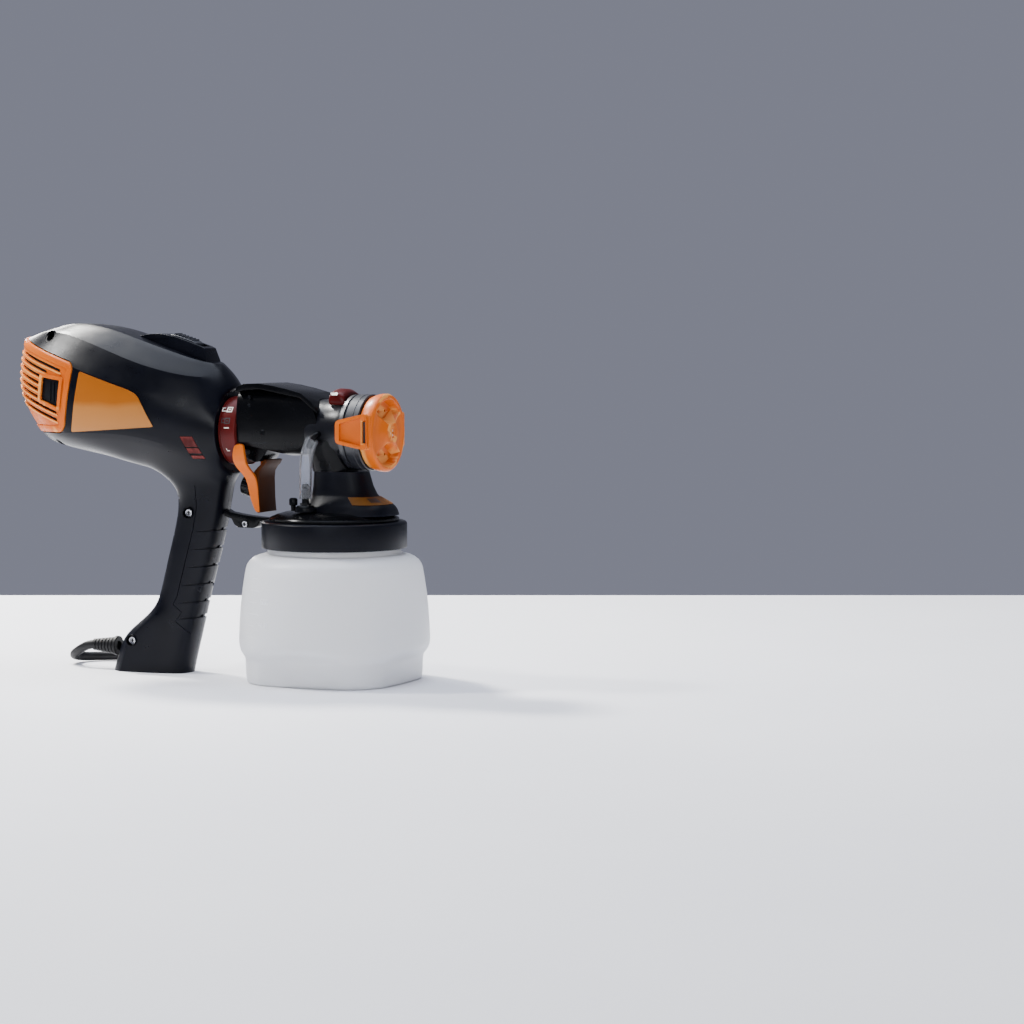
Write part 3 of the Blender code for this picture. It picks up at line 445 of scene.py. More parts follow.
def plastic(name, dark, light, rough, grain=1400, bump=0.06, cloud=22, edge_highlight=None, specular=0.5, **more):
    """Moulded plastic: cloudy tone, fine grain, uneven gloss and, if asked, paler edges painted on as an edge
    highlight.
    """
    mat, tree, shader = material(name)
    colour = ramp(tree, noise(tree, cloud, 4), [(0.3, dark), (0.72, light)])
    # Painted edge highlight: convex edges found by pointiness are made paler, standing in for light catching them.
    if edge_highlight:
        edge = spread(tree, add(tree, "NewGeometry").outputs["Pointiness"], 0, 0.55, 0.53, 0.62)
        mix = tree.nodes.new("ShaderNodeMix")
        mix.data_type = "RGBA"
        colour = feed(mix, {"Factor": edge, "A": colour, "B": (*edge_highlight, 1)}).outputs["Result"]
    gloss = spread(tree, noise(tree, cloud * 3.3, 5), rough - 0.05, rough + 0.07, 0.25, 0.75)
    feed(shader, {"Base Color": colour, "Roughness": gloss, "Specular IOR Level": specular,
                  "Normal": bumps(tree, noise(tree, grain, 2, 0.6), bump), **more})
    return mat


def label_film(name):
    """Plain amber film with painted light and shade: its tone deepens towards its upper edge."""
    mat, tree, shader = material(name)
    place = add(tree, "SeparateXYZ", Vector=object_place(tree))
    lift = tree.nodes.new("ShaderNodeMath")
    lift.operation = "MULTIPLY_ADD"
    feed(lift, {0: noise(tree, 30, 2), 1: 0.01, 2: place.outputs["Z"]})
    height = spread(tree, lift.outputs["Value"], 0, 1, 0.205, 0.26)
    # Painted light and shade: lighter amber low on the panel, deeper amber towards its top.
    tone = ramp(tree, height, [(0, (0.43, 0.18, 0.052)), (0.42, (0.41, 0.156, 0.032)),
                               (0.52, (0.325, 0.09, 0.005)), (1, (0.3, 0.078, 0.004))])
    fine = noise(tree, 900, 2)
    feed(shader, {"Base Color": tone, "Roughness": spread(tree, fine, 0.3, 0.4), "Specular IOR Level": 0.15,
                  "Normal": bumps(tree, fine, 0.03, 0.0003)})
    return mat


def metal(name, dark, light, rough):
    return plastic(name, dark, light, rough, 2500, 0.05, 120, Metallic=1)


def milk(name):
    """Translucent polyethylene: soft bluish white with slow tone changes from moulding."""
    depth = {"Subsurface Weight": 0.35, "Subsurface Radius": (1, 1, 1.1), "Subsurface Scale": 0.012,
             "Transmission Weight": 0.06, "IOR": 1.45}
    return plastic(name, (0.93, 0.935, 0.955), (0.965, 0.97, 0.985), 0.4, 500, 0.05, 9, **depth)


def clear(name):
    """Clear soft hose with faint streaks along it."""
    mat, tree, shader = material(name)
    stretch = add(tree, "Mapping", Vector=object_place(tree), Scale=(1, 1, 0.12))
    streaks = noise(tree, 420, 3, 0.6, stretch.outputs["Vector"])
    tone = ramp(tree, streaks, [(0.3, (0.86, 0.9, 0.98)), (0.7, (1, 1, 1))])
    feed(shader, {"Base Color": tone, "Roughness": spread(tree, streaks, 0.02, 0.09), "Transmission Weight": 0.95,
                  "IOR": 1.22, "Normal": bumps(tree, streaks, 0.15, 0.0005)})
    return mat


# The pale edge colours given to some plastics below are painted edge highlights.
MATS = {
    "housing": plastic("navy_shell", (0.0012, 0.0015, 0.0034), (0.0026, 0.0031, 0.0064), 0.3, 1500, 0.08,
                       edge_highlight=(0.012, 0.014, 0.024), specular=0.13),
    "orange": plastic("orange_plastic", (0.53, 0.094, 0.0032), (0.62, 0.128, 0.007), 0.34, 1200, 0.05,
                      edge_highlight=(0.9, 0.46, 0.12), specular=0.16),
    "label": label_film("amber_film"),
    "latch": plastic("latch_black", (0.0014, 0.0016, 0.0024), (0.0035, 0.004, 0.006), 0.45, 1200, 0.12,
                     specular=0.1),
    "red": plastic("dark_red", (0.042, 0.0022, 0.0018), (0.078, 0.004, 0.0034), 0.3, 1200, 0.06,
                   edge_highlight=(0.22, 0.04, 0.035), specular=0.13),
    # Darker copy of the orange for the trigger pad: painted shade, because the pad faces away from the light.
    "painted_shade": plastic("orange_painted_shade", (0.036, 0.0105, 0.003), (0.06, 0.017, 0.0045), 0.5, 1200, 0.05,
                     specular=0.04),
    "white_mark": plastic("white_mark", (0.62, 0.6, 0.52), (0.78, 0.76, 0.68), 0.5, 1500, 0.05),
    "foam": plastic("filter_foam", (0.02, 0.02, 0.022), (0.07, 0.07, 0.075), 0.9, 420, 0.9, cloud=260),
    "steel": metal("plated_steel", (0.42, 0.43, 0.45), (0.62, 0.63, 0.66), 0.28),
    "brass": metal("blade_brass", (0.62, 0.46, 0.2), (0.78, 0.62, 0.32), 0.27),
    "white_part": plastic("natural_white", (0.66, 0.65, 0.61), (0.78, 0.77, 0.73), 0.42),
    "dark_part": plastic("inner_black", (0.012, 0.012, 0.014), (0.022, 0.022, 0.026), 0.5),
    "rubber": plastic("soft_black", (0.003, 0.003, 0.0036), (0.006, 0.006, 0.0072), 0.5, 900, 0.15, specular=0.25),
    "slider": plastic("slider_black", (0.005, 0.006, 0.01), (0.011, 0.013, 0.02), 0.46, 900, 0.12, specular=0.4),
    "gloss": plastic("gloss_black", (0.0009, 0.001, 0.0014), (0.0022, 0.0024, 0.0032), 0.24, 700, 0.012,
                     edge_highlight=(0.006, 0.007, 0.01), specular=0.1),
    "barrel": plastic("barrel_black", (0.0022, 0.0024, 0.0038), (0.0045, 0.005, 0.0075), 0.3, 900, 0.03,
                      specular=0.24),
    # Greyer than the other blacks: painted sheen for the lit band of the nut.
    "nut": plastic("nut_grey_painted_sheen", (0.008, 0.0085, 0.011), (0.016, 0.017, 0.022), 0.34, 900, 0.04, specular=0.5),
    "lid": plastic("lid_black", (0.0014, 0.0017, 0.0034), (0.0034, 0.004, 0.0074), 0.4, 1100, 0.1,
                   edge_highlight=(0.011, 0.013, 0.022), specular=0.11),
    "cup": milk("milky_cup"),
    "cup_mark": plastic("cup_mark_white", (0.93, 0.94, 0.96), (0.97, 0.98, 0.99), 0.45, 500, 0.05),
    "clear": clear("clear_hose"),
    "decal": plastic("foot_decal", (0.12, 0.048, 0.009), (0.19, 0.08, 0.015), 0.45, 700, 0.1,
                     cloud=60, specular=0.15),
    "decal_dark": plastic("foot_decal_dark", (0.01, 0.007, 0.004), (0.022, 0.015, 0.008), 0.45, 700, 0.1),
}


# Object helpers

def link_object(name, data):
    obj = bpy.data.objects.new(name, data)
    bpy.context.scene.collection.objects.link(obj)
    return obj


def set_sharp(mesh, degrees):
    if degrees:
        mesh.set_sharp_from_angle(angle=radians(degrees))


def solid(bm, name, mat, sharp=32):
    """Link a bmesh in millimetres as an object in metres."""
    moved(bm, Matrix.Diagonal((MM, MM, MM, 1)))
    mesh = bpy.data.meshes.new(name)
    for face in bm.faces:
        face.smooth = True
    bm.to_mesh(mesh)
    bm.free()
    set_sharp(mesh, sharp)
    mesh.materials.append(MATS[mat])
    return link_object(name, mesh)


def settle(obj, sharp=32):
    """Turn an object's modifiers into plain mesh."""
    bpy.context.view_layer.update()
    graph = bpy.context.evaluated_depsgraph_get()
    mesh = bpy.data.meshes.new_from_object(obj.evaluated_get(graph), depsgraph=graph)
    obj.modifiers.clear()
    old = obj.data
    obj.data = mesh
    bpy.data.meshes.remove(old)
    set_sharp(mesh, sharp)
    return obj


def add_modifier(obj, kind, **settings):
    modifier = obj.modifiers.new(kind.lower(), kind)
    for name, value in settings.items():
        setattr(modifier, name, value)


def boolean(obj, tool, operation, sharp):
    """Combine an object with a tool object, which is dropped."""
    add_modifier(obj, "BOOLEAN", operation=operation, solver="EXACT", object=tool)
    settle(obj, sharp)
    bpy.data.objects.remove(tool, do_unlink=True)
    return obj


def cut(obj, bm, sharp=32):
    return boolean(obj, solid(outward(bm), obj.name + "_tool", "dark_part"), "DIFFERENCE", sharp)


def keep(obj, bm, sharp=32):
    return boolean(obj, solid(outward(bm), obj.name + "_tool", "dark_part"), "INTERSECT", sharp)


def trim_half(obj, side):
    """Keep the part of a closed mesh on one side of the middle plane and close the cut."""
    bm = bmesh.new()
    bm.from_mesh(obj.data)
    geometry = bm.verts[:] + bm.edges[:] + bm.faces[:]
    bmesh.ops.bisect_plane(bm, geom=geometry, dist=1e-7, plane_co=(0, side * SEAM_GAP * MM, 0),
                           plane_no=(0, -side, 0), clear_outer=True)
    bmesh.ops.edgeloop_fill(bm, edges=[edge for edge in bm.edges if edge.is_boundary])
    outward(bm).to_mesh(obj.data)
    bm.free()


def round_edges(obj, width, segments=3, angle=32, sharp=32):
    add_modifier(obj, "BEVEL", width=width * MM, segments=segments, limit_method="ANGLE",
                 angle_limit=radians(angle), use_clamp_overlap=True)
    return settle(obj, sharp)


def fit(obj, body, mat, *nodes):
    """Ride on a body and stand for CAD nodes."""
    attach(obj, body)
    if nodes:
        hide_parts(*nodes)
    return obj


def piece(bm, name, mat, body, *nodes, sharp=32, ease=None):
    """Finished solid on a body, with rounded edges if asked."""
    obj = solid(bm, name, mat, sharp)
    if ease:
        round_edges(obj, *ease)
    return fit(obj, body, mat, *nodes)


# Camera, floor and light

def build_studio():
    camera = bpy.data.cameras.new("camera")
    camera.sensor_width = 36
    camera.lens = 105.469
    turn = radians(23.623)
    dip = radians(90 - 3.719)
    holder = link_object("camera", camera)
    holder.location = (1.1131, -2.18275, 0.29703)
    holder.rotation_euler = (dip, 0, turn)
    bpy.context.scene.camera = holder
    floor_mesh = bpy.data.meshes.new("floor")
    turn_floor = Matrix.Rotation(turn, 4, "Z")
    outline = [turn_floor @ Vector((x, y, 0)) for x, y in bar(-3, -2.2, 3, 0.75)]
    floor_mesh.from_pydata(outline, [], [(0, 1, 2, 3)])
    mat, tree, shader = material("floor_paint")
    tone = ramp(tree, noise(tree, 3, 3), [(0.3, (0.86, 0.86, 0.885)), (0.7, (0.9, 0.9, 0.92))])
    feed(shader, {"Base Color": tone, "Roughness": 0.85})
    floor_mesh.materials.append(mat)
    floor = link_object("floor", floor_mesh)
    world = bpy.data.worlds.new("studio")
    bpy.context.scene.world = world
    world.use_nodes = True
    feed(world.node_tree.nodes["Background"], {"Color": (0.225, 0.235, 0.3, 1), "Strength": 0.92})
    # Name, place, aim, size, power and colour
    lamps = (
        ("key", (-1.1, 0.54, 1.44), (-0.1, 0, 0.2), 0.26, 66, (1, 0.98, 0.94)),
        ("rear", (-1.04, -0.29, 1.26), (-0.22, -0.03, 0.27), 0.18, 19, (1, 0.99, 0.97)),
        ("kicker", (-1.45, 1.25, 0.8), (-0.2, 0, 0.24), 0.6, 20, (1, 0.98, 0.95)),
        ("sky", (-0.1, 0.1, 1.9), (-0.1, 0, 0.2), 2, 48, (0.78, 0.85, 1)),
        ("front", (1.6, -1.3, 0.8), (0, 0, 0.2), 0.9, 4, (1, 0.97, 0.94)),
        ("side", (0.6, -2.2, 1), (-0.1, 0, 0.15), 0.8, 15, (0.95, 0.97, 1)),
    )
    for name, where, aim, size, power, colour in lamps:
        light = bpy.data.lights.new(name, "AREA")
        light.shape = "DISK"
        light.size = size
        light.energy = power
        light.color = colour
        lamp = link_object(name, light)
        lamp.location = where
        lamp.rotation_euler = (Vector(where) - Vector(aim)).to_track_quat("Z", "Y").to_euler()


# Cord, its strain relief and plug

def build_cord():
    points = smooth_path(CORD_ROUTE, 60)
    curve = bpy.data.curves.new("supply_cord", "CURVE")
    curve.dimensions = "3D"
    curve.bevel_depth = CORD_RADIUS * MM
    curve.bevel_resolution = 6
    curve.use_fill_caps = True
    spline = curve.splines.new("POLY")
    spline.points.add(len(points) - 1)
    for item, point in zip(spline.points, points):
        item.co = (point.x * MM, point.y * MM, point.z * MM, 1)
    curve.materials.append(MATS["rubber"])
    line = fit(link_object("supply_cord", curve), "gun", "rubber", "power_cord")
    profile = [(-228.6, 4.4), (-228.6, 5)]
    for k in range(6):
        x = -228 + 3.4 * k
        radius = 5 + 0.4 * k
        profile += [(x, radius), (x + 2.1, radius + 0.15), (x + 2.4, radius - 0.55), (x + 3.1, radius - 0.45)]
    profile += [(-207.6, 7.3), (-207.2, 8.2), (-205, 8.2), (-204.6, 7.6), (-204.6, 4.1)]
    relief = piece(turned("X", CORD_EXIT, profile, 40, closed=True), "strain_relief", "rubber", "gun",
                   "cord_strain_relief")
    end = points[-1]
    heading = (end - points[-2]).normalized()
    move = Matrix.Translation((end.x, end.y, 0)) @ Matrix.Rotation(atan2(heading.y, heading.x), 4, "Z")
    # Distance from the cord's end, half width, height of the middle and half height
    stations = (
        (0.3, 4.3, 4.3, 4.3), (3, 4.8, 4.5, 4.5), (9, 6, 5.2, 5), (14, 8.8, 6.1, 5.8), (22, 9.2, 6.3, 6),
        (30, 9.4, 6.4, 6.1), (36.6, 9.2, 6.3, 6), (37, 8.6, 6.2, 5.5),
    )
    rings = [[(x, half * blunt(c, 0.5), max(middle + rise * blunt(s, 0.5), 0.22)) for c, s in turns(24)]
             for x, half, middle, rise in stations]
    plug_piece = piece(moved(loft(rings), move), "plug_shell", "rubber", "gun", "plug_body")
    for name, y in (("plug_blade_1", -6.4), ("plug_blade_2", 6.4)):
        outline = [(37.3, 3), (52.5, 3), (54, 4.4), (54, 8), (52.5, 9.4), (37.3, 9.4)]
        blade = moved(prism(outline, y - 0.8, y + 0.8), move)
        piece(blade, name + "_pin", "brass", "gun", name, ease=(0.25, 2))


# Body shells

def handle_ring(bm, rear, front, half, foot):
    """Ring of the grip; towards the foot its rear corner gets a flat chamfer band."""
    shape = [(0, 0), (0.06 - 0.02 * foot, 0.72 - 0.14 * foot), (0.32 - 0.13 * foot, 1), (0.66, 1),
             (0.92, 0.78), (0.99, 0.4), (1, 0)]
    points = [(rear[0] + (front[0] - rear[0]) * t, w * half, rear[1] + (front[1] - rear[1]) * t) for t, w in shape]
    return ring_of(bm, points + [(x, -y, z) for x, y, z in reversed(points[1:-1])])


def port_ring(bm, radius):
    """Ring at the front of the neck."""
    angles = [radians(-90 + 22.5 * k) for k in range(16)]
    return ring_of(bm, [(NECK_FRONT_X, radius * cos(a), SPRAY_Z + radius * sin(a)) for a in angles])


def body_form():
    """Outer form of the body and grip with an open round port at the front of the neck."""
    bm = bmesh.new()
    crease = bm.edges.layers.float.new("crease_edge")
    levels = [LEVEL_BOTTOM, LEVEL_LOW, LEVEL_MID, LEVEL_BAND, LEVEL_FACET, LEVEL_RIDGE]
    grid = {}
    for row, level in enumerate(levels):
        for col, (x, y, z) in enumerate(level):
            if col in (0, LAST):
                grid[row, col, -1] = grid[row, col, 1] = bm.verts.new((x, 0, z))
            else:
                grid[row, col, -1] = bm.verts.new((x, -y, z))
                grid[row, col, 1] = bm.verts.new((x, y, z))

    def run(row, cols, side=1):
        return [grid[row, col, side] for col in cols]

    for row in range(5):
        last_col = 7 if row in (1, 2) else LAST
        for side in (-1, 1):
            for col in range(last_col):
                bm.faces.new(run(row, (col, col + 1), side) + run(row + 1, (col + 1, col), side))
    for row, last_col in ((5, LAST), (0, 5)):
        for col in range(last_col):
            bm.faces.new(list(dict.fromkeys(run(row, (col, col + 1), -1) + run(row, (col + 1, col)))))
    neck = (run(1, (LAST, 9, 8, 7)) + run(2, [7]) + run(3, (7, 8, 9, LAST)) + run(3, (9, 8, 7), -1)
            + run(2, [7], -1) + run(1, (7, 8, 9), -1))
    outer = port_ring(bm, 33)
    inner = port_ring(bm, PORT_RADIUS)
    skin(bm, neck, outer)
    skin(bm, outer, inner)
    rear = bm.verts.new((-163, 0, 171.5))
    handle = [rear] + run(0, (5, 6, 7, 8, 9, LAST)) + run(0, (9, 8, 7, 6, 5), -1)
    left, right = grid[0, 5, 1], grid[0, 5, -1]
    for face in [face for face in bm.faces if left in face.verts and right in face.verts]:
        bm.faces.remove(face)
    bm.edges.remove(bm.edges.get((left, right)))
    bm.faces.new((grid[0, 4, 1], left, rear))
    bm.faces.new((grid[0, 4, -1], rear, right))
    bm.faces.new((grid[0, 4, 1], rear, grid[0, 4, -1]))
    rings = [handle]
    places = [0]
    for rear_point, front_point, half in HANDLE_RINGS:
        foot = min(max((80 - rear_point[1]) / 40, 0), 1)
        rings.append(handle_ring(bm, rear_point, front_point, half, foot))
        places.append(foot)
    for a, b in zip(rings, rings[1:]):
        skin(bm, a, b)
    bm.faces.new(rings[-1])
    outward(bm)
    if bm.calc_volume(signed=True) < 0:
        bmesh.ops.reverse_faces(bm, faces=bm.faces)
    chains = []
    for side in (-1, 1):
        for row, first, last_col, value in ((1, 0, 8, 0.45), (3, 0, 7, 0.8), (4, 1, 9, 0.95), (5, 1, LAST, 0.95)):
            chains.append((run(row, range(first, last_col), side), value))
    for ring, value in ((outer, 0.8), (inner, 1), (rings[-1], 1)):
        chains.append((ring + ring[:1], value))
    for column in (2, 10):
        for foot, a, b in zip(places, rings, rings[1:]):
            if foot > 0.3:
                chains.append(([a[column], b[column]], 0.85))
    for chain, value in chains:
        for a, b in zip(chain, chain[1:]):
            edge = bm.edges.get((a, b))
            if edge:
                edge[crease] = value
    return bm


def form_mesh(wall, offset, level):
    """Mesh of one wall that follows the body form; kept so that several pieces can be cut from it."""
    obj = solid(body_form(), "form", "housing", 0)
    add_modifier(obj, "SUBSURF", levels=level, render_levels=level)
    add_modifier(obj, "SOLIDIFY", thickness=wall * MM, offset=offset, use_even_offset=True)
    mesh = settle(obj, 0).data
    bpy.data.objects.remove(obj, do_unlink=True)
    return mesh


def drop(*meshes):
    for mesh in meshes:
        bpy.data.meshes.remove(mesh)


def from_form(mesh, name, mat):
    data = mesh.copy()
    data.materials.clear()
    data.materials.append(MATS[mat])
    return link_object(name, data)


def along_slots(low_shift, high_shift, reach=0):
    """Prisms that run along every slot, from low_shift to high_shift above its middle."""
    shapes = []
    start = -330
    for level, stop in SLOT_PLANES:
        stop = stop + reach
        low = level - SLOPE * start
        high = level - SLOPE * stop
        outline = [(start, low + low_shift), (stop, high + low_shift),
                   (stop + 1.2, high + 0.5 * (low_shift + high_shift)), (stop, high + high_shift),
                   (start, low + high_shift)]
        shapes += [prism(outline, *span(side, 2.6, 70)) for side, _ in FLANKS]
    return merge(shapes)


def grip_edge(z, side):
    """Rear (0) or front (1) edge of the grip's side view at a height."""
    points = sorted((station[side][1], station[side][0]) for station in HANDLE_RINGS)
    for (z0, x0), (z1, x1) in zip(points, points[1:]):
        if z0 <= z <= z1:
            return x0 + (x1 - x0) * (z - z0) / (z1 - z0)
    return points[0][1] if z < points[0][0] else points[-1][1]


def grip_grooves():
    """Outlines of the finger grooves and rear notches in the side view."""
    finger = ((6, 2.3), (-3, 1.5), (-10, 0.2), (-17.5, -1.9), (-10, -1.6), (-3, -0.9), (6, -0.3))
    notch = ((-6, 1.2), (2, 0.9), (5.2, -0.4), (2, -0.9), (-6, -0.8))
    outlines = []
    for shape, side, heights in ((finger, 1, (121, 106, 91, 76, 61, 47.5)),
                                 (notch, 0, (147, 132, 116.5, 101, 85.5))):
        for z in heights:
            edge = grip_edge(z, side)
            outlines.append([(edge + dx, z + dz) for dx, dz in shape])
    return outlines


def grip_seam():
    """Thin outline of the panel seam down the middle of the grip, with its step near the foot."""
    seam = [(grip_edge(z, 0) * 0.48 + grip_edge(z, 1) * 0.52 + 1, z)
            for z in (158, 140, 120, 100, 80, 66)]
    foot = seam[-1][0]
    seam += [(foot - 4, 58), (foot + 3.5, 52), (foot - 2, 44), (foot + 9, 34)]
    left = []
    right = []
    for k, (x, z) in enumerate(seam):
        before = Vector(seam[max(k - 1, 0)])
        after = Vector(seam[min(k + 1, len(seam) - 1)])
        along = (after - before).normalized()
        left.append((x - along.y * 0.32, z + along.x * 0.32))
        right.append((x + along.y * 0.32, z - along.x * 0.32))
    return left + right[::-1]


def cut_grooves(obj, layer, side, outlines):
    """Cut grooves that follow the surface on one side."""
    tool = from_form(layer, "groove_tool", "dark_part")
    keep(tool, merge([prism(outline, *span(side, 0.5, 60)) for outline in outlines]), 0)
    boolean(obj, tool, "DIFFERENCE", 0)


def from_layer(layer, name, body, mat, outlines, side, holes=(), ease=0, node=None):
    """Piece cut from a layer that follows the body form."""
    low, high = span(side, 20, 70) if side else THROUGH
    obj = from_form(layer, name, mat)
    keep(obj, merge([prism(outline, low, high) for outline in outlines]), 0)
    for hole in holes:
        cut(obj, prism(hole, low * 1.1, high * 1.1), 0)
    set_sharp(obj.data, 20)
    if ease:
        round_edges(obj, ease, 2, 40, 40)
    return fit(obj, body, mat, *([node] if node else []))


def build_housings():
    form = form_mesh(SHELL_WALL, -1, FINE)
    layer = form_mesh(2.6, 0, COARSE)
    for side, label in FLANKS:
        half = from_form(form, "shell_" + label, "housing")
        trim_half(half, side)
        cutters = [prism(rounded(grow(COVER_ZONE, 0.9), 6), *THROUGH),
                   prism(rounded(VENT_ZONE, 1.2), *span(side, 20, 60)),
                   turned("X", CORD_EXIT, [(-222, 6.2), (-188, 5.2)], 32)]
        if side < 0:
            cutters += [disc("Y", SCREW_TOP, -60, -12, 5.4, 32), disc("Y", SCREW_REAR, -60, -11, 3.8),
                        disc("Y", SCREW_GRIP, -40, -10, 4.3), disc("Y", SCREW_FOOT, -40, -10, 4.3)]
        for cutter in cutters:
            cut(half, cutter, 0)
        cut_grooves(half, layer, side, grip_grooves())
        cut_grooves(half, layer, side, [grip_seam()])
        set_sharp(half.data, 13)
        fit(half, "gun", "housing", "housing_" + label)
    drop(layer)
    return form


def open_windows(obj, ease):
    for side in (-1, 1):
        cut(obj, prism(grow(LATCH_WINDOW, ease), *span(side, 30, 70)), 30)


def build_cover():
    form = build_housings()
    cover = from_form(form, "louvred_cover", "orange")
    keep(cover, prism(rounded(COVER_ZONE, 6), *THROUGH), 0)
    cut(cover, along_slots(-1.35, 1.35), 0)
    open_windows(cover, 0.4)
    fit(cover, "filter_cover", "orange", "filter_cover")
    lining = form_mesh(1, -8.6, 1)
    screen = from_form(lining, "louvre_screen", "foam")
    keep(screen, prism(grow(COVER_ZONE, -1.4), *THROUGH), 0)
    open_windows(screen, 1.5)
    fit(screen, "filter_cover", "foam")
    rib = form_mesh(1.7, -0.1, FINE)
    from_layer(rib, "cover_border", "filter_cover", "orange", [rounded(grow(COVER_ZONE, -0.2), 6)], 0,
               [rounded(grow(COVER_ZONE, -5.4), 5)], 0.35)
    lips = from_form(rib, "louvre_lips", "orange")
    keep(lips, along_slots(-2.75, -1.45, 1), 0)
    keep(lips, prism(grow(COVER_ZONE, -1), *THROUGH), 30)
    fit(round_edges(lips, 0.3, 2, 40, 40), "filter_cover", "orange")
    drop(form, lining, rib)


def build_shells():
    build_cover()
    rim = form_mesh(2.6, 0.3, FINE)
    for side, label in FLANKS:
        from_layer(rim, "window_frame_" + label, "filter_cover", "orange",
                   [rounded(grow(LATCH_WINDOW, 3.6), 3)], side, [rounded(grow(LATCH_WINDOW, 0.5), 0.8)], 0.5)
    film = form_mesh(0.6, 2.7, FINE)
    for side, label in FLANKS:
        from_layer(film, "amber_panel_" + label, "gun", "label", [rounded(LABEL_ZONE, 1.6)], side,
                   node="side_label_" + label)
    tab_layer = form_mesh(3, -1.2, COARSE)
    ribs_layer = form_mesh(2, -0.75, COARSE)
    lines = [[(x, 215), (x + 1.5, 215), (x + 2.6, 252), (x + 1.1, 252)]
             for x in (-250.5, -246.5, -242.5, -238.5)]
    for side, label in FLANKS:
        from_layer(tab_layer, "latch_tab_" + label, "latch_" + label, "latch", [grow(LATCH_WINDOW, -0.1)], side,
                   node="filter_latch_" + label)
        ribs = from_form(ribs_layer, "latch_ribs_" + label, "latch")
        low, high = span(side, 20, 70)
        keep(ribs, prism(grow(LATCH_WINDOW, -2.2), low, high), 0)
        keep(ribs, merge([prism(line, low * 1.1, high * 1.1) for line in lines]), 30)
        fit(ribs, "latch_" + label, "latch")
    zone = grow(VENT_ZONE, -0.35)
    top = max(z for _, z in zone)
    cells = [clipped(zone, top - low, top - high) for low, high in ((8.4, 0), (13.8, 9.6), (30, 15.8))]
    for side, label in FLANKS:
        from_layer(ribs_layer, "red_vent_" + label, "gun", "red", cells, side, node="vent_insert_" + label)
        from_layer(tab_layer, "vent_back_" + label, "gun", "latch", [clipped(zone, top - 16.4, top - 8)], side)
    circles = [[(SCREW_TOP[0] + radius * c, SCREW_TOP[1] + radius * s) for c, s in turns(32)]
               for radius in (5.3, 3.7)]
    from_layer(tab_layer, "screw_hole_rim", "gun", "latch", circles[:1], -1, circles[1:])
    drop(rim, film, tab_layer, ribs_layer)


def build_hood():
    hood = [
        (-190, 279), (-178, 281.6), (-166, 283), (-157, 283.3), (-142, 280.6), (-118.5, 273), (-114.6, 271.2),
        (-112, 261), (-110, 252), (-190, 268),
    ]
    housing = solid(prism(hood, -12.5, 12.5), "switch_hood", "housing")
    for vert in housing.data.vertices:
        if vert.co.z > HOOD_BROW_Z * MM:
            vert.co.y *= 0.76
        if vert.co.x < HOOD_TAIL_X * MM:
            vert.co.y *= 0.45
    slot = [(-149, 300), (-118, 300), (-118, 268), (-149, 277.6)]
    cut(housing, prism(slot, -7.4, 7.4))
    fit(round_edges(housing, 0.8), "gun", "housing")
    outline = [(-148.6, 276.8), (-124.8, 269.6), (-124.8, 275.2), (-127.6, 277.2), (-143, 282), (-148.6, 282.6)]
    piece(prism(outline, -7.1, 7.1), "thumb_slider", "slider", "power_switch", "power_switch_slider", ease=[0.7])
    ribs = []
    for k in range(6):
        x = -145.6 + 3.2 * k
        z = 282.3 - 0.98 * k
        ribs.append(prism([(x, z - 1.5), (x + 1.7, z - 2), (x + 1.3, z + 1.2), (x + 0.6, z + 1.5)], -6, 6))
    piece(merge(ribs), "slider_ribs", "slider", "power_switch", ease=(0.25, 2))


def screw_head(name, place, near, radius, node, mat="steel"):
    """Cross-recessed screw in a counterbore, seen from the right side."""
    x, z = place
    shape = ((0.9, 0), (0.9, 0.42), (0.1, 0.6), (0, 0.74), (0.3, 0.93), (1, 1), (2.2, 1), (2.2, 0.5),
             (5, 0.5), (5, 0))
    profile = [(near + depth, radius * share) for depth, share in shape]
    piece(turned("Y", place, profile, 40), name, mat, "gun", node)
    # Dark cross in the head: painted shade for the shadowed cross recess of the steel screw.
    arms = [box((x - across, x + across), (near + 0.5, near + 1), (z - up, z + up))
            for across, up in ((radius * 0.52, 0.45), (0.45, radius * 0.52))]
    piece(merge(arms), name + "_recess_shade", "dark_part", "gun")


def build_hardware():
    screw_head("grip_screw_upper", SCREW_GRIP, -17, 3.5, "handle_screw_top")
    screw_head("grip_screw_lower", SCREW_FOOT, -17.2, 3.5, "handle_screw_foot")
    # The upper body screw gets a black finish: painted shade, so its deep hole reads dark.
    screw_head("body_screw_upper", SCREW_TOP, -17, 3, "housing_screw_top", "latch")
    screw_head("body_screw_lower", SCREW_REAR, -15, 3, "housing_screw_rear", "dark_part")
    screw_head("arm_screw", SCREW_GUARD, -7.8, 2.6, "guard_screw")
    wells = [tube("Y", place, near, far, radius + 0.5, radius, 32)
             for place, near, far, radius in ((SCREW_TOP, -27, -14, 4.6), (SCREW_GRIP, -19, -12, 4.25),
                                              (SCREW_FOOT, -19.4, -12, 4.25))]
    piece(merge(wells), "screw_wells", "latch", "gun")
    arm = [
        (-99.1, 137.8), (-95.5, 135.9), (-88, 134.6), (-79, 133.4), (-68, 132.4), (-60.2, 131.8), (-60.2, 128.6),
        (-66.5, 128.8), (-68.5, 124.6), (-72, 123.2), (-86, 123.2), (-90, 125.8), (-92.5, 130.4), (-99.3, 132.6),
    ]
    guard = solid(prism(arm, -6, 6), "guard_bridge", "gloss")
    cut(guard, disc("Y", SCREW_GUARD, -10, 10, 1.9))
    fit(round_edges(guard, 0.8, 3, 40), "gun", "gloss", "guard_arm")


# Gun front

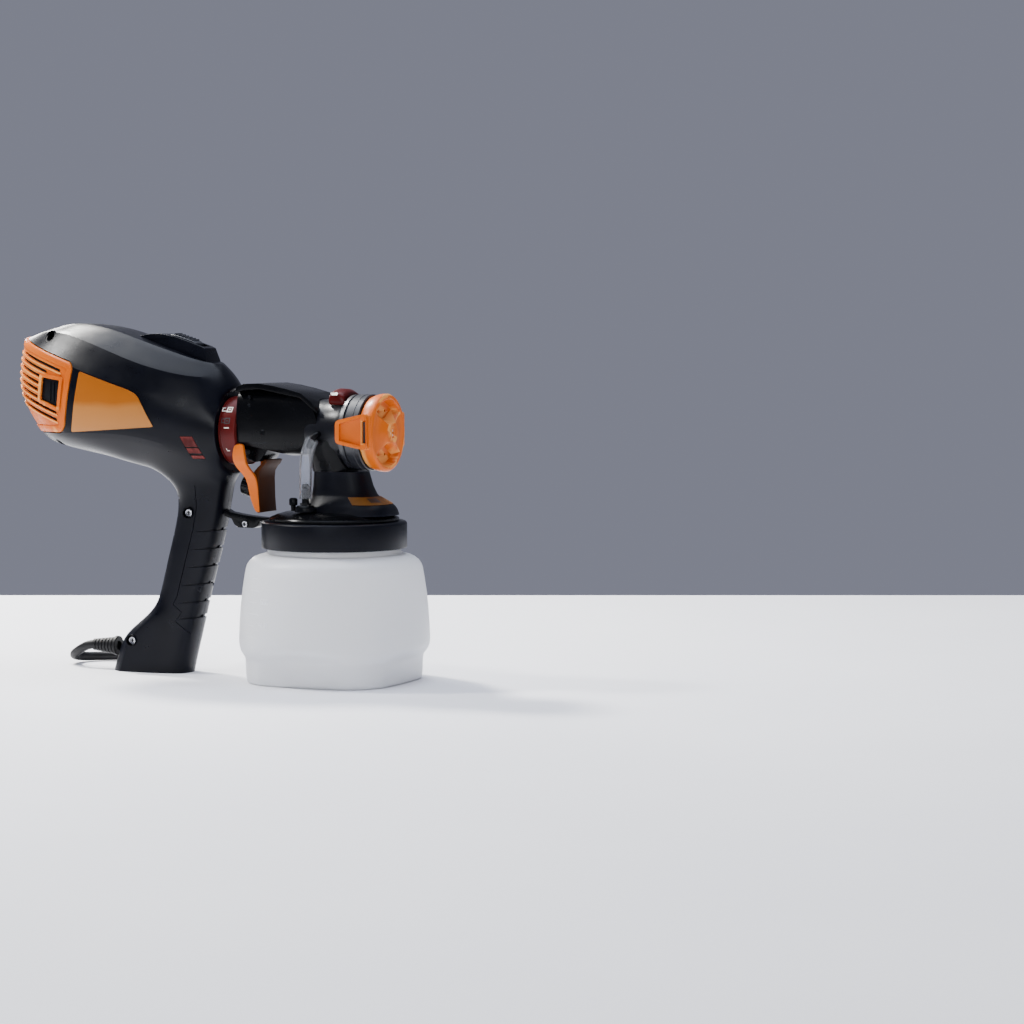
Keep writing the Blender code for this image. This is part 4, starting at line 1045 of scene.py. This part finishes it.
def on_drum(shapes, radius, x, degrees, thickness=0.16):
    """Flat marks (polygons in along, around) wrapped on the spray axis drum as thin raised shapes."""
    bm = bmesh.new()
    for shape in shapes:
        layers = []
        for r in (radius + 0.02, radius + thickness):
            angles = [radians(degrees) + around / radius for _, around in shape]
            layers.append(ring_of(bm, [(x + along, -r * cos(a), SPRAY_Z + r * sin(a))
                                       for (along, _), a in zip(shape, angles)]))
        skin(bm, *layers)
        for layer in layers:
            bm.faces.new(layer)
    return outward(bm)


def padlock(lift, gap):
    """Generic padlock: square body with a key mark and a shackle, lifted and cut short when open."""
    shapes = [bar(-2.6, -2.6, 2.6, -1.7), bar(-2.6, 1.5, 2.6, 2.4), bar(-2.6, -1.7, -1.7, 1.5),
              bar(1.7, -1.7, 2.6, 1.5), bar(-0.7, -0.8, 0.7, 0.6), bar(-1.9, 2.4, -1.2, 4.6 + lift),
              bar(-1.9, 4.6 + lift, 1.9, 5.3 + lift), bar(1.2, 2.4 + gap, 1.9, 4.6 + lift)]
    return [[(-y, x) for x, y in shape] for shape in shapes]


def build_collar():
    x0, x1 = COLLAR_X
    profile = [(x0, 22.6), (x0, 27.4), (x0 + 0.5, 28.1), (x0 + 1.2, COLLAR_RADIUS), (x0 + 2, COLLAR_RADIUS),
               (x0 + 2.3, 27.9), (x0 + 2.8, 27.9), (x0 + 3.1, COLLAR_RADIUS), (x1 - 1.2, COLLAR_RADIUS),
               (x1 - 0.4, 28), (x1, 27.2), (x1, 22.6)]
    piece(drum(profile), "lock_ring", "red", "lock_collar", "lock_collar")
    marks = [on_drum(padlock(1.5, 1.8), COLLAR_RADIUS, -84.4, 39),
             on_drum([bar(-1.8, -0.45, 2.6, 0.45)], COLLAR_RADIUS, -84.8, 6),
             on_drum([bar(-1, -0.3, 1.4, 0.3), bar(-1.4, 0.9, -0.8, 2.2)], COLLAR_RADIUS, -85.2, -34)]
    piece(merge(marks), "collar_marks", "white_mark", "lock_collar")
    piece(on_drum(padlock(0, 0), COLLAR_RADIUS, -84.4, 18), "collar_lock_mark", "dark_part", "lock_collar")


def build_gun_front():
    side = [
        (-76.6, 195), (-76.6, 235.6), (-70, 238.2), (-55, 238.8), (-18.5, 232), (-5.8, 221.4), (-3, 214), (-6, 197),
        (-14, 187), (-17.5, 184.8), (-32, 184.4), (-44, 187), (-58, 190.4), (-73, 192.6),
    ]
    block = solid(prism(side, -25.6, 25.6), "front_block", "gloss")
    outline = [(25.4 * blunt(c, 0.62), 211.8 + 28.4 * blunt(s, 0.62)) for c, s in turns(72)]
    keep(block, prism(outline, -90, 10, axis="X"))
    fit(round_edges(block, 2.2, 4), "gun", "gloss", "nozzle_body")
    lower = [
        (-76.3, 195), (-76.3, 184), (-72.5, 180), (-66, 178.2), (-62.5, 178.4), (-60, 180.2), (-57, 184.2),
        (-54, 189.2), (-51, 195),
    ]
    piece(prism(lower, -14, 14), "trigger_boss", "gloss", "gun", ease=(1.4, 4))
    barrel = [
        (-14, 20), (-14, 25.6), (-10, 26.3), (-2, 26.5), (12, 26.5), (13, 26.9), (17, 26.9), (17.7, 26.2),
        (17.7, 20.2), (29.5, 20.2), (29.5, 4), (-14, 4),
    ]
    piece(drum(barrel), "barrel", "barrel", "gun")
    sections = ((171.8, -15, 17), (178, -15.6, 19), (186, -16.2, 23), (196, -16.6, 25.9),
                (202, -16.6, 26))
    saddle = loft([superellipse(z, x0, 17.4, half, power=0.6) for z, x0, half in sections])
    piece(saddle, "pedestal_saddle", "gloss", "gun")
    foot = loft([superellipse(*section) for section in PEDESTAL])
    fit(solid(foot, "pedestal_foot", "lid"), "gun", "gloss")
    plate = [
        (131.6, 0), (131.6, 52.6), (132.2, 53), (133.4, 53), (134.2, 52.4), (136.4, 47), (138.4, 40), (139.2, 30),
        (139.5, 0),
    ]
    piece(turned("Z", (0, 0), plate, SIDES), "base_disc", "gloss", "gun", sharp=24)
    foot_patch("foot_decal", "decal", -74, 26, 0.04, 0.96, (0.1, 0.45))
    foot_patch("foot_decal_field", "decal_dark", -37, -9, 0.3, 0.8, (0.48, 0.6))
    top = [
        (-77.5, 236.6), (-76.4, 239.8), (-70, 242.6), (-56, 242.9), (-43, 241.2), (-30, 238.6), (-17, 235.2),
        (-8, 228.4), (-3.4, 222.6), (-2.2, 219.4), (-5, 221.2), (-18.3, 231.6), (-54.9, 238.4), (-69.9, 237.6),
        (-75.9, 235.4),
    ]
    cover = solid(prism(top, -25.3, 25.3), "front_cover", "gloss")
    cut(cover, disc("X", SPRAY_AXIS, -60, 30, BARREL_RADIUS + 0.4, SIDES))
    fit(round_edges(cover, 1.3, 4), "gun", "gloss", "nozzle_top_cover")
    studs = []
    for x, z, face, radius, count in ((-65, 231.6, -25.2, 1.5, 20), (-65, 224.8, -25.2, 1.5, 20),
                                      (-52.6, 203, -25.9, 2.4, 24)):
        edge = 0.4 if radius < 2 else 0.6
        profile = [(face, 0), (face, radius - edge), (face + edge, radius), (-22, radius), (-22, 0)]
        studs.append(turned("Y", (x, z), profile, count))
    piece(merge(studs), "block_studs", "gloss", "gun")
    pin = [(-25.8, 0), (-25.8, 1.9), (-25.4, 2.1), (25.4, 2.1), (25.8, 1.9), (25.8, 0)]
    piece(turned("Y", TRIGGER_PIVOT, pin, 24), "pivot_pin", "dark_part", "gun", "trigger_pin")


def foot_patch(name, mat, first, last, bottom, top, lifts):
    """Thin piece that lies on the slope of the pedestal's foot between two angles."""
    bm = bmesh.new()
    rows, cols = 6, 26
    layers = []
    for lift in lifts:
        grid = []
        for row in range(rows + 1):
            t = bottom + (top - bottom) * row / rows
            z, x0, x1, half = (a + (b - a) * t for a, b in zip(PEDESTAL[4], PEDESTAL[5]))
            line = []
            for col in range(cols + 1):
                angle = radians(first + (last - first) * col / cols)
                c, s = cos(angle), sin(angle)
                out = Vector((c, s, 0.9)).normalized() * lift
                x = 0.5 * (x0 + x1) + 0.5 * (x1 - x0) * blunt(c, 0.7)
                line.append((x + out.x, half * blunt(s, 0.7) + out.y, z + out.z))
            grid.append(ring_of(bm, line))
        layers.append(grid)
    for grid in layers:
        for a, b in zip(grid, grid[1:]):
            for quad in zip(a, a[1:], b[1:], b):
                bm.faces.new(quad)
    skin(bm, *(grid[0] + [row[-1] for row in grid[1:]] + grid[-1][-2::-1] + [row[0] for row in grid[-2:0:-1]]
               for grid in layers))
    piece(outward(bm), name, mat, "gun")


def knob_shape(profile, count, centre=(0, 0)):
    """Turned shape on the tilted axis of the flow knob."""
    tilt = Matrix.Translation((-69.5, 0, 156)) @ Matrix.Rotation(radians(14), 4, "Y")
    return moved(turned("X", centre, profile, count), tilt)


def build_trigger():
    # Height, rear, front and outer half width of both arms
    stations = [
        (193.4, -75.2, -72.8, 25.4), (193, -76.6, -71.4, 25.9), (191.8, -77.9, -70.3, 26.5),
        (189, -78.9, -69.5, 26.9), (184.2, -79.7, -68.9, 26.7), (179.6, -79.6, -68.6, 25.8),
        (175.6, -79, -68.2, 23.3), (172.1, -77.8, -67.2, 20.3), (168.7, -75.8, -65.4, 17.9),
        (164.6, -73.6, -64, 15.8), (160, -72.3, -63.2, 14.9), (154.3, -71.2, -62.8, 14.4), (148.5, -70, -62.6, 14.2),
        (142.8, -67.9, -62.2, 14), (139, -66.2, -61.9, 14), (137.2, -64.8, -61.8, 14),
    ]
    steps = 4
    arms = []
    for side in (-1, 1):
        rings = []
        for k in range(steps * (len(stations) - 1) + 1):
            i = min(k // steps, len(stations) - 2)
            f = k / steps - i
            z, x0, x1, out = (a + (b - a) * f for a, b in zip(stations[i], stations[i + 1]))
            rings.append([(x, y, z) for x, y in bar(x0, side * out, x1, side * (out - 3.3))])
        arms.append(loft(rings))
    arm = round_edges(solid(merge(arms), "trigger_arms", "orange"), 0.9)
    add_modifier(arm, "SMOOTH", factor=0.5, iterations=3)
    fit(settle(arm), "trigger", "orange", "trigger")
    front = [
        (-55, 179.8), (-56.6, 176.7), (-59.4, 173.8), (-61.6, 170.4), (-62.2, 164.6), (-62, 156.6), (-61.8, 148.5),
        (-61.3, 142), (-60.8, 137), (-63.4, 136.4), (-66.4, 140), (-68, 148), (-68.8, 156.6), (-68.4, 164.6),
        (-66.4, 170.6), (-63, 174.2), (-59.4, 177), (-57.2, 180.4),
    ]
    # The pad's dark orange finish is painted shade on the same orange plastic as the arms.
    pad = solid(prism(front, -13.9, 13.9), "trigger_pad", "painted_shade")
    cut(pad, knob_shape([(-26, 0), (-26, 9.4), (2.2, 5.2), (2.2, 0)], 32))
    fit(round_edges(pad, 1.1), "trigger", "painted_shade")
    profile = [
        (-13.6, 0), (-13.6, 7.6), (-13, 8.5), (-12.2, 9), (-5.4, 9), (-4.8, 8.4), (-4.8, 4.3), (1.8, 4.3), (1.8, 0),
    ]
    knob = solid(knob_shape(profile, 48), "flow_dial", "gloss")
    cut(knob, merge([knob_shape([(-16, 1), (-6.2, 1)], 10, (9.5 * c, 9.5 * s)) for c, s in turns(16)]))
    fit(knob, "flow_knob", "gloss", "flow_knob")


# Barrel front: selector, nut and air cap

def build_spray_end():
    profile = ((3.6, 27), (17.2, 27), (17.2, 32), (16.4, 33.2), (13, 35.2), (7, 35.6), (4.4, 35),
               (3.6, 33.8))
    steps = 32
    rings = []
    for k in range(steps + 1):
        f = k / steps
        angle = radians(56 + 70 * f)
        rise = sin(0.5 * pi * max(min(f / 0.14, (1 - f) / 0.14, 1), 0.02))
        ring = [(x, 27 + (radius - 27) * (0.35 + 0.65 * rise)) for x, radius in profile]
        rings.append([(x, -radius * cos(angle), SPRAY_Z + radius * sin(angle)) for x, radius in ring])
    piece(loft(rings), "selector_tab", "red", "pattern_selector", "pattern_selector", ease=[0.5])
    arrow = [(-2.6, -2.2), (2.6, -2.2), (2.6, 0.2), (0, 3), (-2.6, 0.2)]
    piece(on_drum([arrow], 35.6, 9.6, 62, 0.2), "selector_mark", "white_mark", "pattern_selector")
    x0, x1 = NUT_X
    nut = [
        (x0, 29.4), (x0 + 0.4, 30.2), (x0 + 1.2, 30.5), (x0 + 4.2, 30.8), (x0 + 4.6, 30.5), (x0 + 4.8, 29.5),
        (x0 + 5.8, 29.5), (x0 + 6, 30.6), (x0 + 6.4, 31), (x1 - 5.2, 31), (x1 - 4.9, 30.7), (x1 - 4.5, 30.7),
        (x1 - 4.2, 31), (x1 - 0.6, 31), (x1, 30.4), (x1, 26.8), (x1 - 4, 26.8), (x1 - 4, 20.5), (x0, 20.5),
    ]
    piece(drum(nut), "union_ring", "nut", "nozzle_nut", "nozzle_nut", sharp=24)
    tip = [
        (30, 2.4), (30, 8), (36, 8), (40.5, 3.4), (52.6, 3), (52.9, 2.6), (52.9, 1.4), (37, 1.4), (33, 2.4),
    ]
    piece(drum(tip, 40), "fluid_tip", "white_part", "gun", "fluid_nozzle")
    build_air_cap()


def pocket_outline(x, inner, half, outer, spread_deg, sign):
    """Outline of a pocket in the cap's face at depth x."""
    angles = [radians(90 - spread_deg + 2 * spread_deg * k / 14) for k in range(15)]
    return ([(x, -half, SPRAY_Z + sign * inner), (x, half, SPRAY_Z + sign * inner)]
            + [(x, outer * cos(a), SPRAY_Z + sign * outer * sin(a)) for a in angles])


def build_air_cap():
    f = CAP_FACE_X
    face = [
        (36.4, 22), (36.4, 28.4), (37, 29.2), (40, 30.4), (43.2, 31.3), (45.4, CAP_RADIUS), (f + 0.8, CAP_RADIUS),
        (f + 2, CAP_RADIUS - 0.7), (f + 2.5, CAP_RADIUS - 2), (f + 2.5, CAP_RADIUS - 3.6),
        (f + 2.2, CAP_RADIUS - 4.6), (f + 2.6, 20), (f + 3.8, 14), (f + 5.2, 10.6), (f + 6, 9.4), (f + 6, 3.9),
        (f + 1, 3.9), (42, 5.4), (39, 9.8), (39, 22),
    ]
    cap = solid(drum(face), "cap_disc", "orange", 0)
    cut(cap, merge([loft([pocket_outline(f - 4.2, 11.4, 5, 25.4, 44, sign),
                          pocket_outline(f + 6.4, 7.6, 8.6, 28.6, 58, sign)]) for sign in (1, -1)]), 0)
    cut(cap, merge([disc("X", (y, SPRAY_Z + z), f - 7, f + 20, 1.2, 16)
                    for z in (17.6, -17.6) for y in (-6.4, 6.4)]), 30)
    fit(round_edges(cap, 0.55, 3, 30, 40), "air_cap", "orange", "air_cap")
    frame_piece = solid(box((f + 5, f + 6.6), (-2.7, 2.7), (SPRAY_Z - 5, SPRAY_Z + 5)), "cap_slot", "orange")
    cut(frame_piece, box((f + 3, f + 9), (-1.1, 1.1), (SPRAY_Z - 3.4, SPRAY_Z + 3.4)))
    fit(round_edges(frame_piece, 0.45), "air_cap", "orange")
    x0 = EAR_TIP_X
    ear = rounded([(f - 0.4, 190.2), (f - 0.4, 220.2), (x0 + 0.6, 213.9), (x0 + 0.6, 195.8)], 3.6, 6)
    first = rounded([(41.6, 193.6), (41.6, 216.6), (x0 + 4.2, 211.6), (x0 + 4.2, 198)], 1)
    second = rounded([(f - 0.6, 195.8), (f - 0.6, 214.6), (44.2, 214.2), (44.2, 196.2)], 0.6)
    root = rounded([(f - 6, 190), (f - 6, 219.6), (f + 0.8, 218.6), (f + 0.8, 191.2)], 2.4)
    for side, label in FLANKS:
        plate = solid(prism(ear, *span(side, 31.7, 35.6)), "cap_ear_" + label, "orange")
        cut(plate, merge([prism(outline, *span(side, 32.7, 40)) for outline in (first, second)]))
        cut(plate, box((42.6, 44.6), span(side, 30, 40), (196, 213.4)))
        # Dark sheet at the back of the ear's slit: painted shade for the slit's hollow.
        piece(box((42.7, 44.5), span(side, 31.8, 32.4), (196.1, 213.3)), "ear_slit_shade_" + label, "dark_part", "air_cap")
        fit(round_edges(plate, 0.55), "air_cap", "orange")
        piece(prism(root, *span(side, 25, 31.8)), "cap_root_" + label, "orange", "air_cap", ease=[0.8])


# Cup, lid and vent

def cup_ring(z, half, corner):
    flat = half - corner
    ring = []
    for c, s in turns(CUP_SIDES, 0.5):
        across = flat * max(-1, min(1, c * 3.2))
        ring.append((across + corner * c, flat * max(-1, min(1, s * 3.2)) + corner * s, z))
    return ring


def cup_point(z, angle, lift):
    """Point on the round part of the cup's outer wall."""
    for (z0, a, _), (z1, b, _) in zip(CUP_LEVELS, CUP_LEVELS[1:]):
        if z0 <= z <= z1:
            radius = a + (b - a) * (z - z0) / (z1 - z0) + lift
            return (radius * cos(angle), radius * sin(angle), z)
    return (0, 0, z)


def raised_bar(bm, z, start, end, height):
    """Short raised rib on the cup's wall."""
    rings = []
    for k in range(7):
        angle = start + (end - start) * k / 6
        foot, crest = (ring_of(bm, [cup_point(z + part * height, angle, lift) for part in (-share, share)])
                       for share, lift in ((0.5, -0.4), (0.32, 0.42)))
        rings.append([foot[0], crest[0], crest[1], foot[1]])
    for a, b in zip(rings, rings[1:]):
        skin(bm, a, b)
    bm.faces.new(rings[0])
    bm.faces.new(rings[-1])


def numeral(bm, text, z, angle, size):
    """Plain graduation numeral made of short ribs."""
    step = 0.55 * size / 76
    for index, char in enumerate(text):
        start = angle + index * 1.5 * step
        for stroke in DIGITS[char]:
            height, column = STROKES[stroke]
            if column is None:
                raised_bar(bm, z + height * size, start, start + step, 0.16 * size)
            else:
                middle = start + column * step
                raised_bar(bm, z + height * size, middle - 0.14 * step, middle + 0.14 * step, 0.52 * size)


def build_cup():
    outer = [cup_ring(*level) for level in CUP_LEVELS]
    inner = []
    for z, half, corner in reversed(CUP_LEVELS):
        if z >= RIM_Z - 0.7:
            inner.append(cup_ring(z, half - CUP_WALL, corner - CUP_WALL))
        elif z > 2.2:
            drop_by = 1.2 if z > 96 else 0
            inner.append(cup_ring(z - drop_by, half - CUP_WALL, max(corner - CUP_WALL, 20)))
    inner.append(cup_ring(2, 60, 38))
    piece(loft(outer + inner), "milky_cup", "cup", "cup", "cup", sharp=0)
    marks = bmesh.new()
    base = radians(-127)
    for k in range(7):
        raised_bar(marks, 86.5 - 9.4 * k, base, base + radians(11 if k in (1, 3, 5) else 7.5), 1)
    for text, z in (("600", 67), ("400", 48.2)):
        numeral(marks, text, z, base + radians(12.5), 4.2)
    piece(outward(marks), "cup_graduations", "cup_mark", "cup")
    low, high = LID_Z
    lid = [(low, 56.4), (low, 58.6), (low + 0.3, 59.2), (low + 1, LID_RADIUS), (high - 2.6, LID_RADIUS),
           (high - 1.5, 59.2), (high - 0.6, 58.4), (high - 0.1, 57.2), (high, 55.8), (high, 18), (126.8, 18),
           (126.8, 56.4)]
    piece(turned("Z", (0, 0), lid, SIDES + 32, closed=True), "lid_ring", "lid", "gun", "cup_lid", sharp=40)
    piece(tube("Z", (12, 0), 7, 157, 5, 3.6, 32), "dip_tube", "clear", "gun", "suction_tube")


def build_vent():
    x, y = VENT_X, VENT_Y
    body = [(139.6, 0), (139.6, 8.6), (140, 9), (142.6, 9), (143.4, 8.6), (144, 7.4), (144.9, 6.6), (145, 0)]
    piece(turned("Z", (x, y), body, 48), "valve_seat", "gloss", "gun", "valve_body")
    nipple = [
        (145.3, 0), (145.3, 4.4), (146.9, 4.6), (147.2, 3), (150, 2.9), (150.4, 3.6), (152.6, 2.9), (153, 3.6),
        (155.4, 2.9), (155.8, 3.6), (158.6, 2.7), (159, 3.4), (162.5, 2.2), (162.5, 0),
    ]
    piece(turned("Z", (x, y), nipple, 32), "barbed_nipple", "gloss", "gun", "tube_nipple")
    cap = [
        (140.4, 0), (140.4, 2), (144.6, 2), (145, 3), (145.6, 3.4), (149.6, 3.4), (150.6, 2.8), (151, 1.8), (151, 0),
    ]
    piece(turned("Z", (x - 10.6, y - 1), cap, 32), "valve_knob", "gloss", "gun", "valve_cap")
    route = [(x, y, 150.5), (x, y, 163), (x + 0.3, y, 175), (x + 1.6, y, 186), (x + 4.6, y - 0.1, 194.8),
             (x + 6.8, y + 0.3, 198.8)]
    piece(swept_tube(route, 5.2, 4, 40, 40), "clear_hose", "clear", "gun", "vent_tube")
    elbow = [(x + 3.4, y, 192), (x + 5.6, y - 0.1, 197.2), (x + 7.4, y + 1, 200.6), (x + 8.6, y + 4, 202.2),
             (x + 9, y + 8, 202.4)]
    piece(loft(swept_rings(smooth_path(elbow, 16), 2.7, 24)), "hose_elbow", "gloss", "gun")


def dress_inner_parts():
    """CAD nodes that stay shown get their real finish."""
    finish = {
        "foam": ("air_filter",),
        "steel": ("motor_can", "motor_shaft", "needle"),
        "white_part": ("turbine_impeller",),
        "dark_part": ("turbine_shroud", "air_duct", "switch_module"),
        "rubber": ("duct_seal", "internal_lead", "needle_seal", "cup_gasket"),
    }
    for mat, nodes in finish.items():
        for node in nodes:
            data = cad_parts[node].data
            data.materials.clear()
            data.materials.append(MATS[mat])


build_studio()
build_cord()
build_shells()
build_hood()
build_hardware()
build_collar()
build_gun_front()
build_trigger()
build_spray_end()
build_cup()
build_vent()
dress_inner_parts()
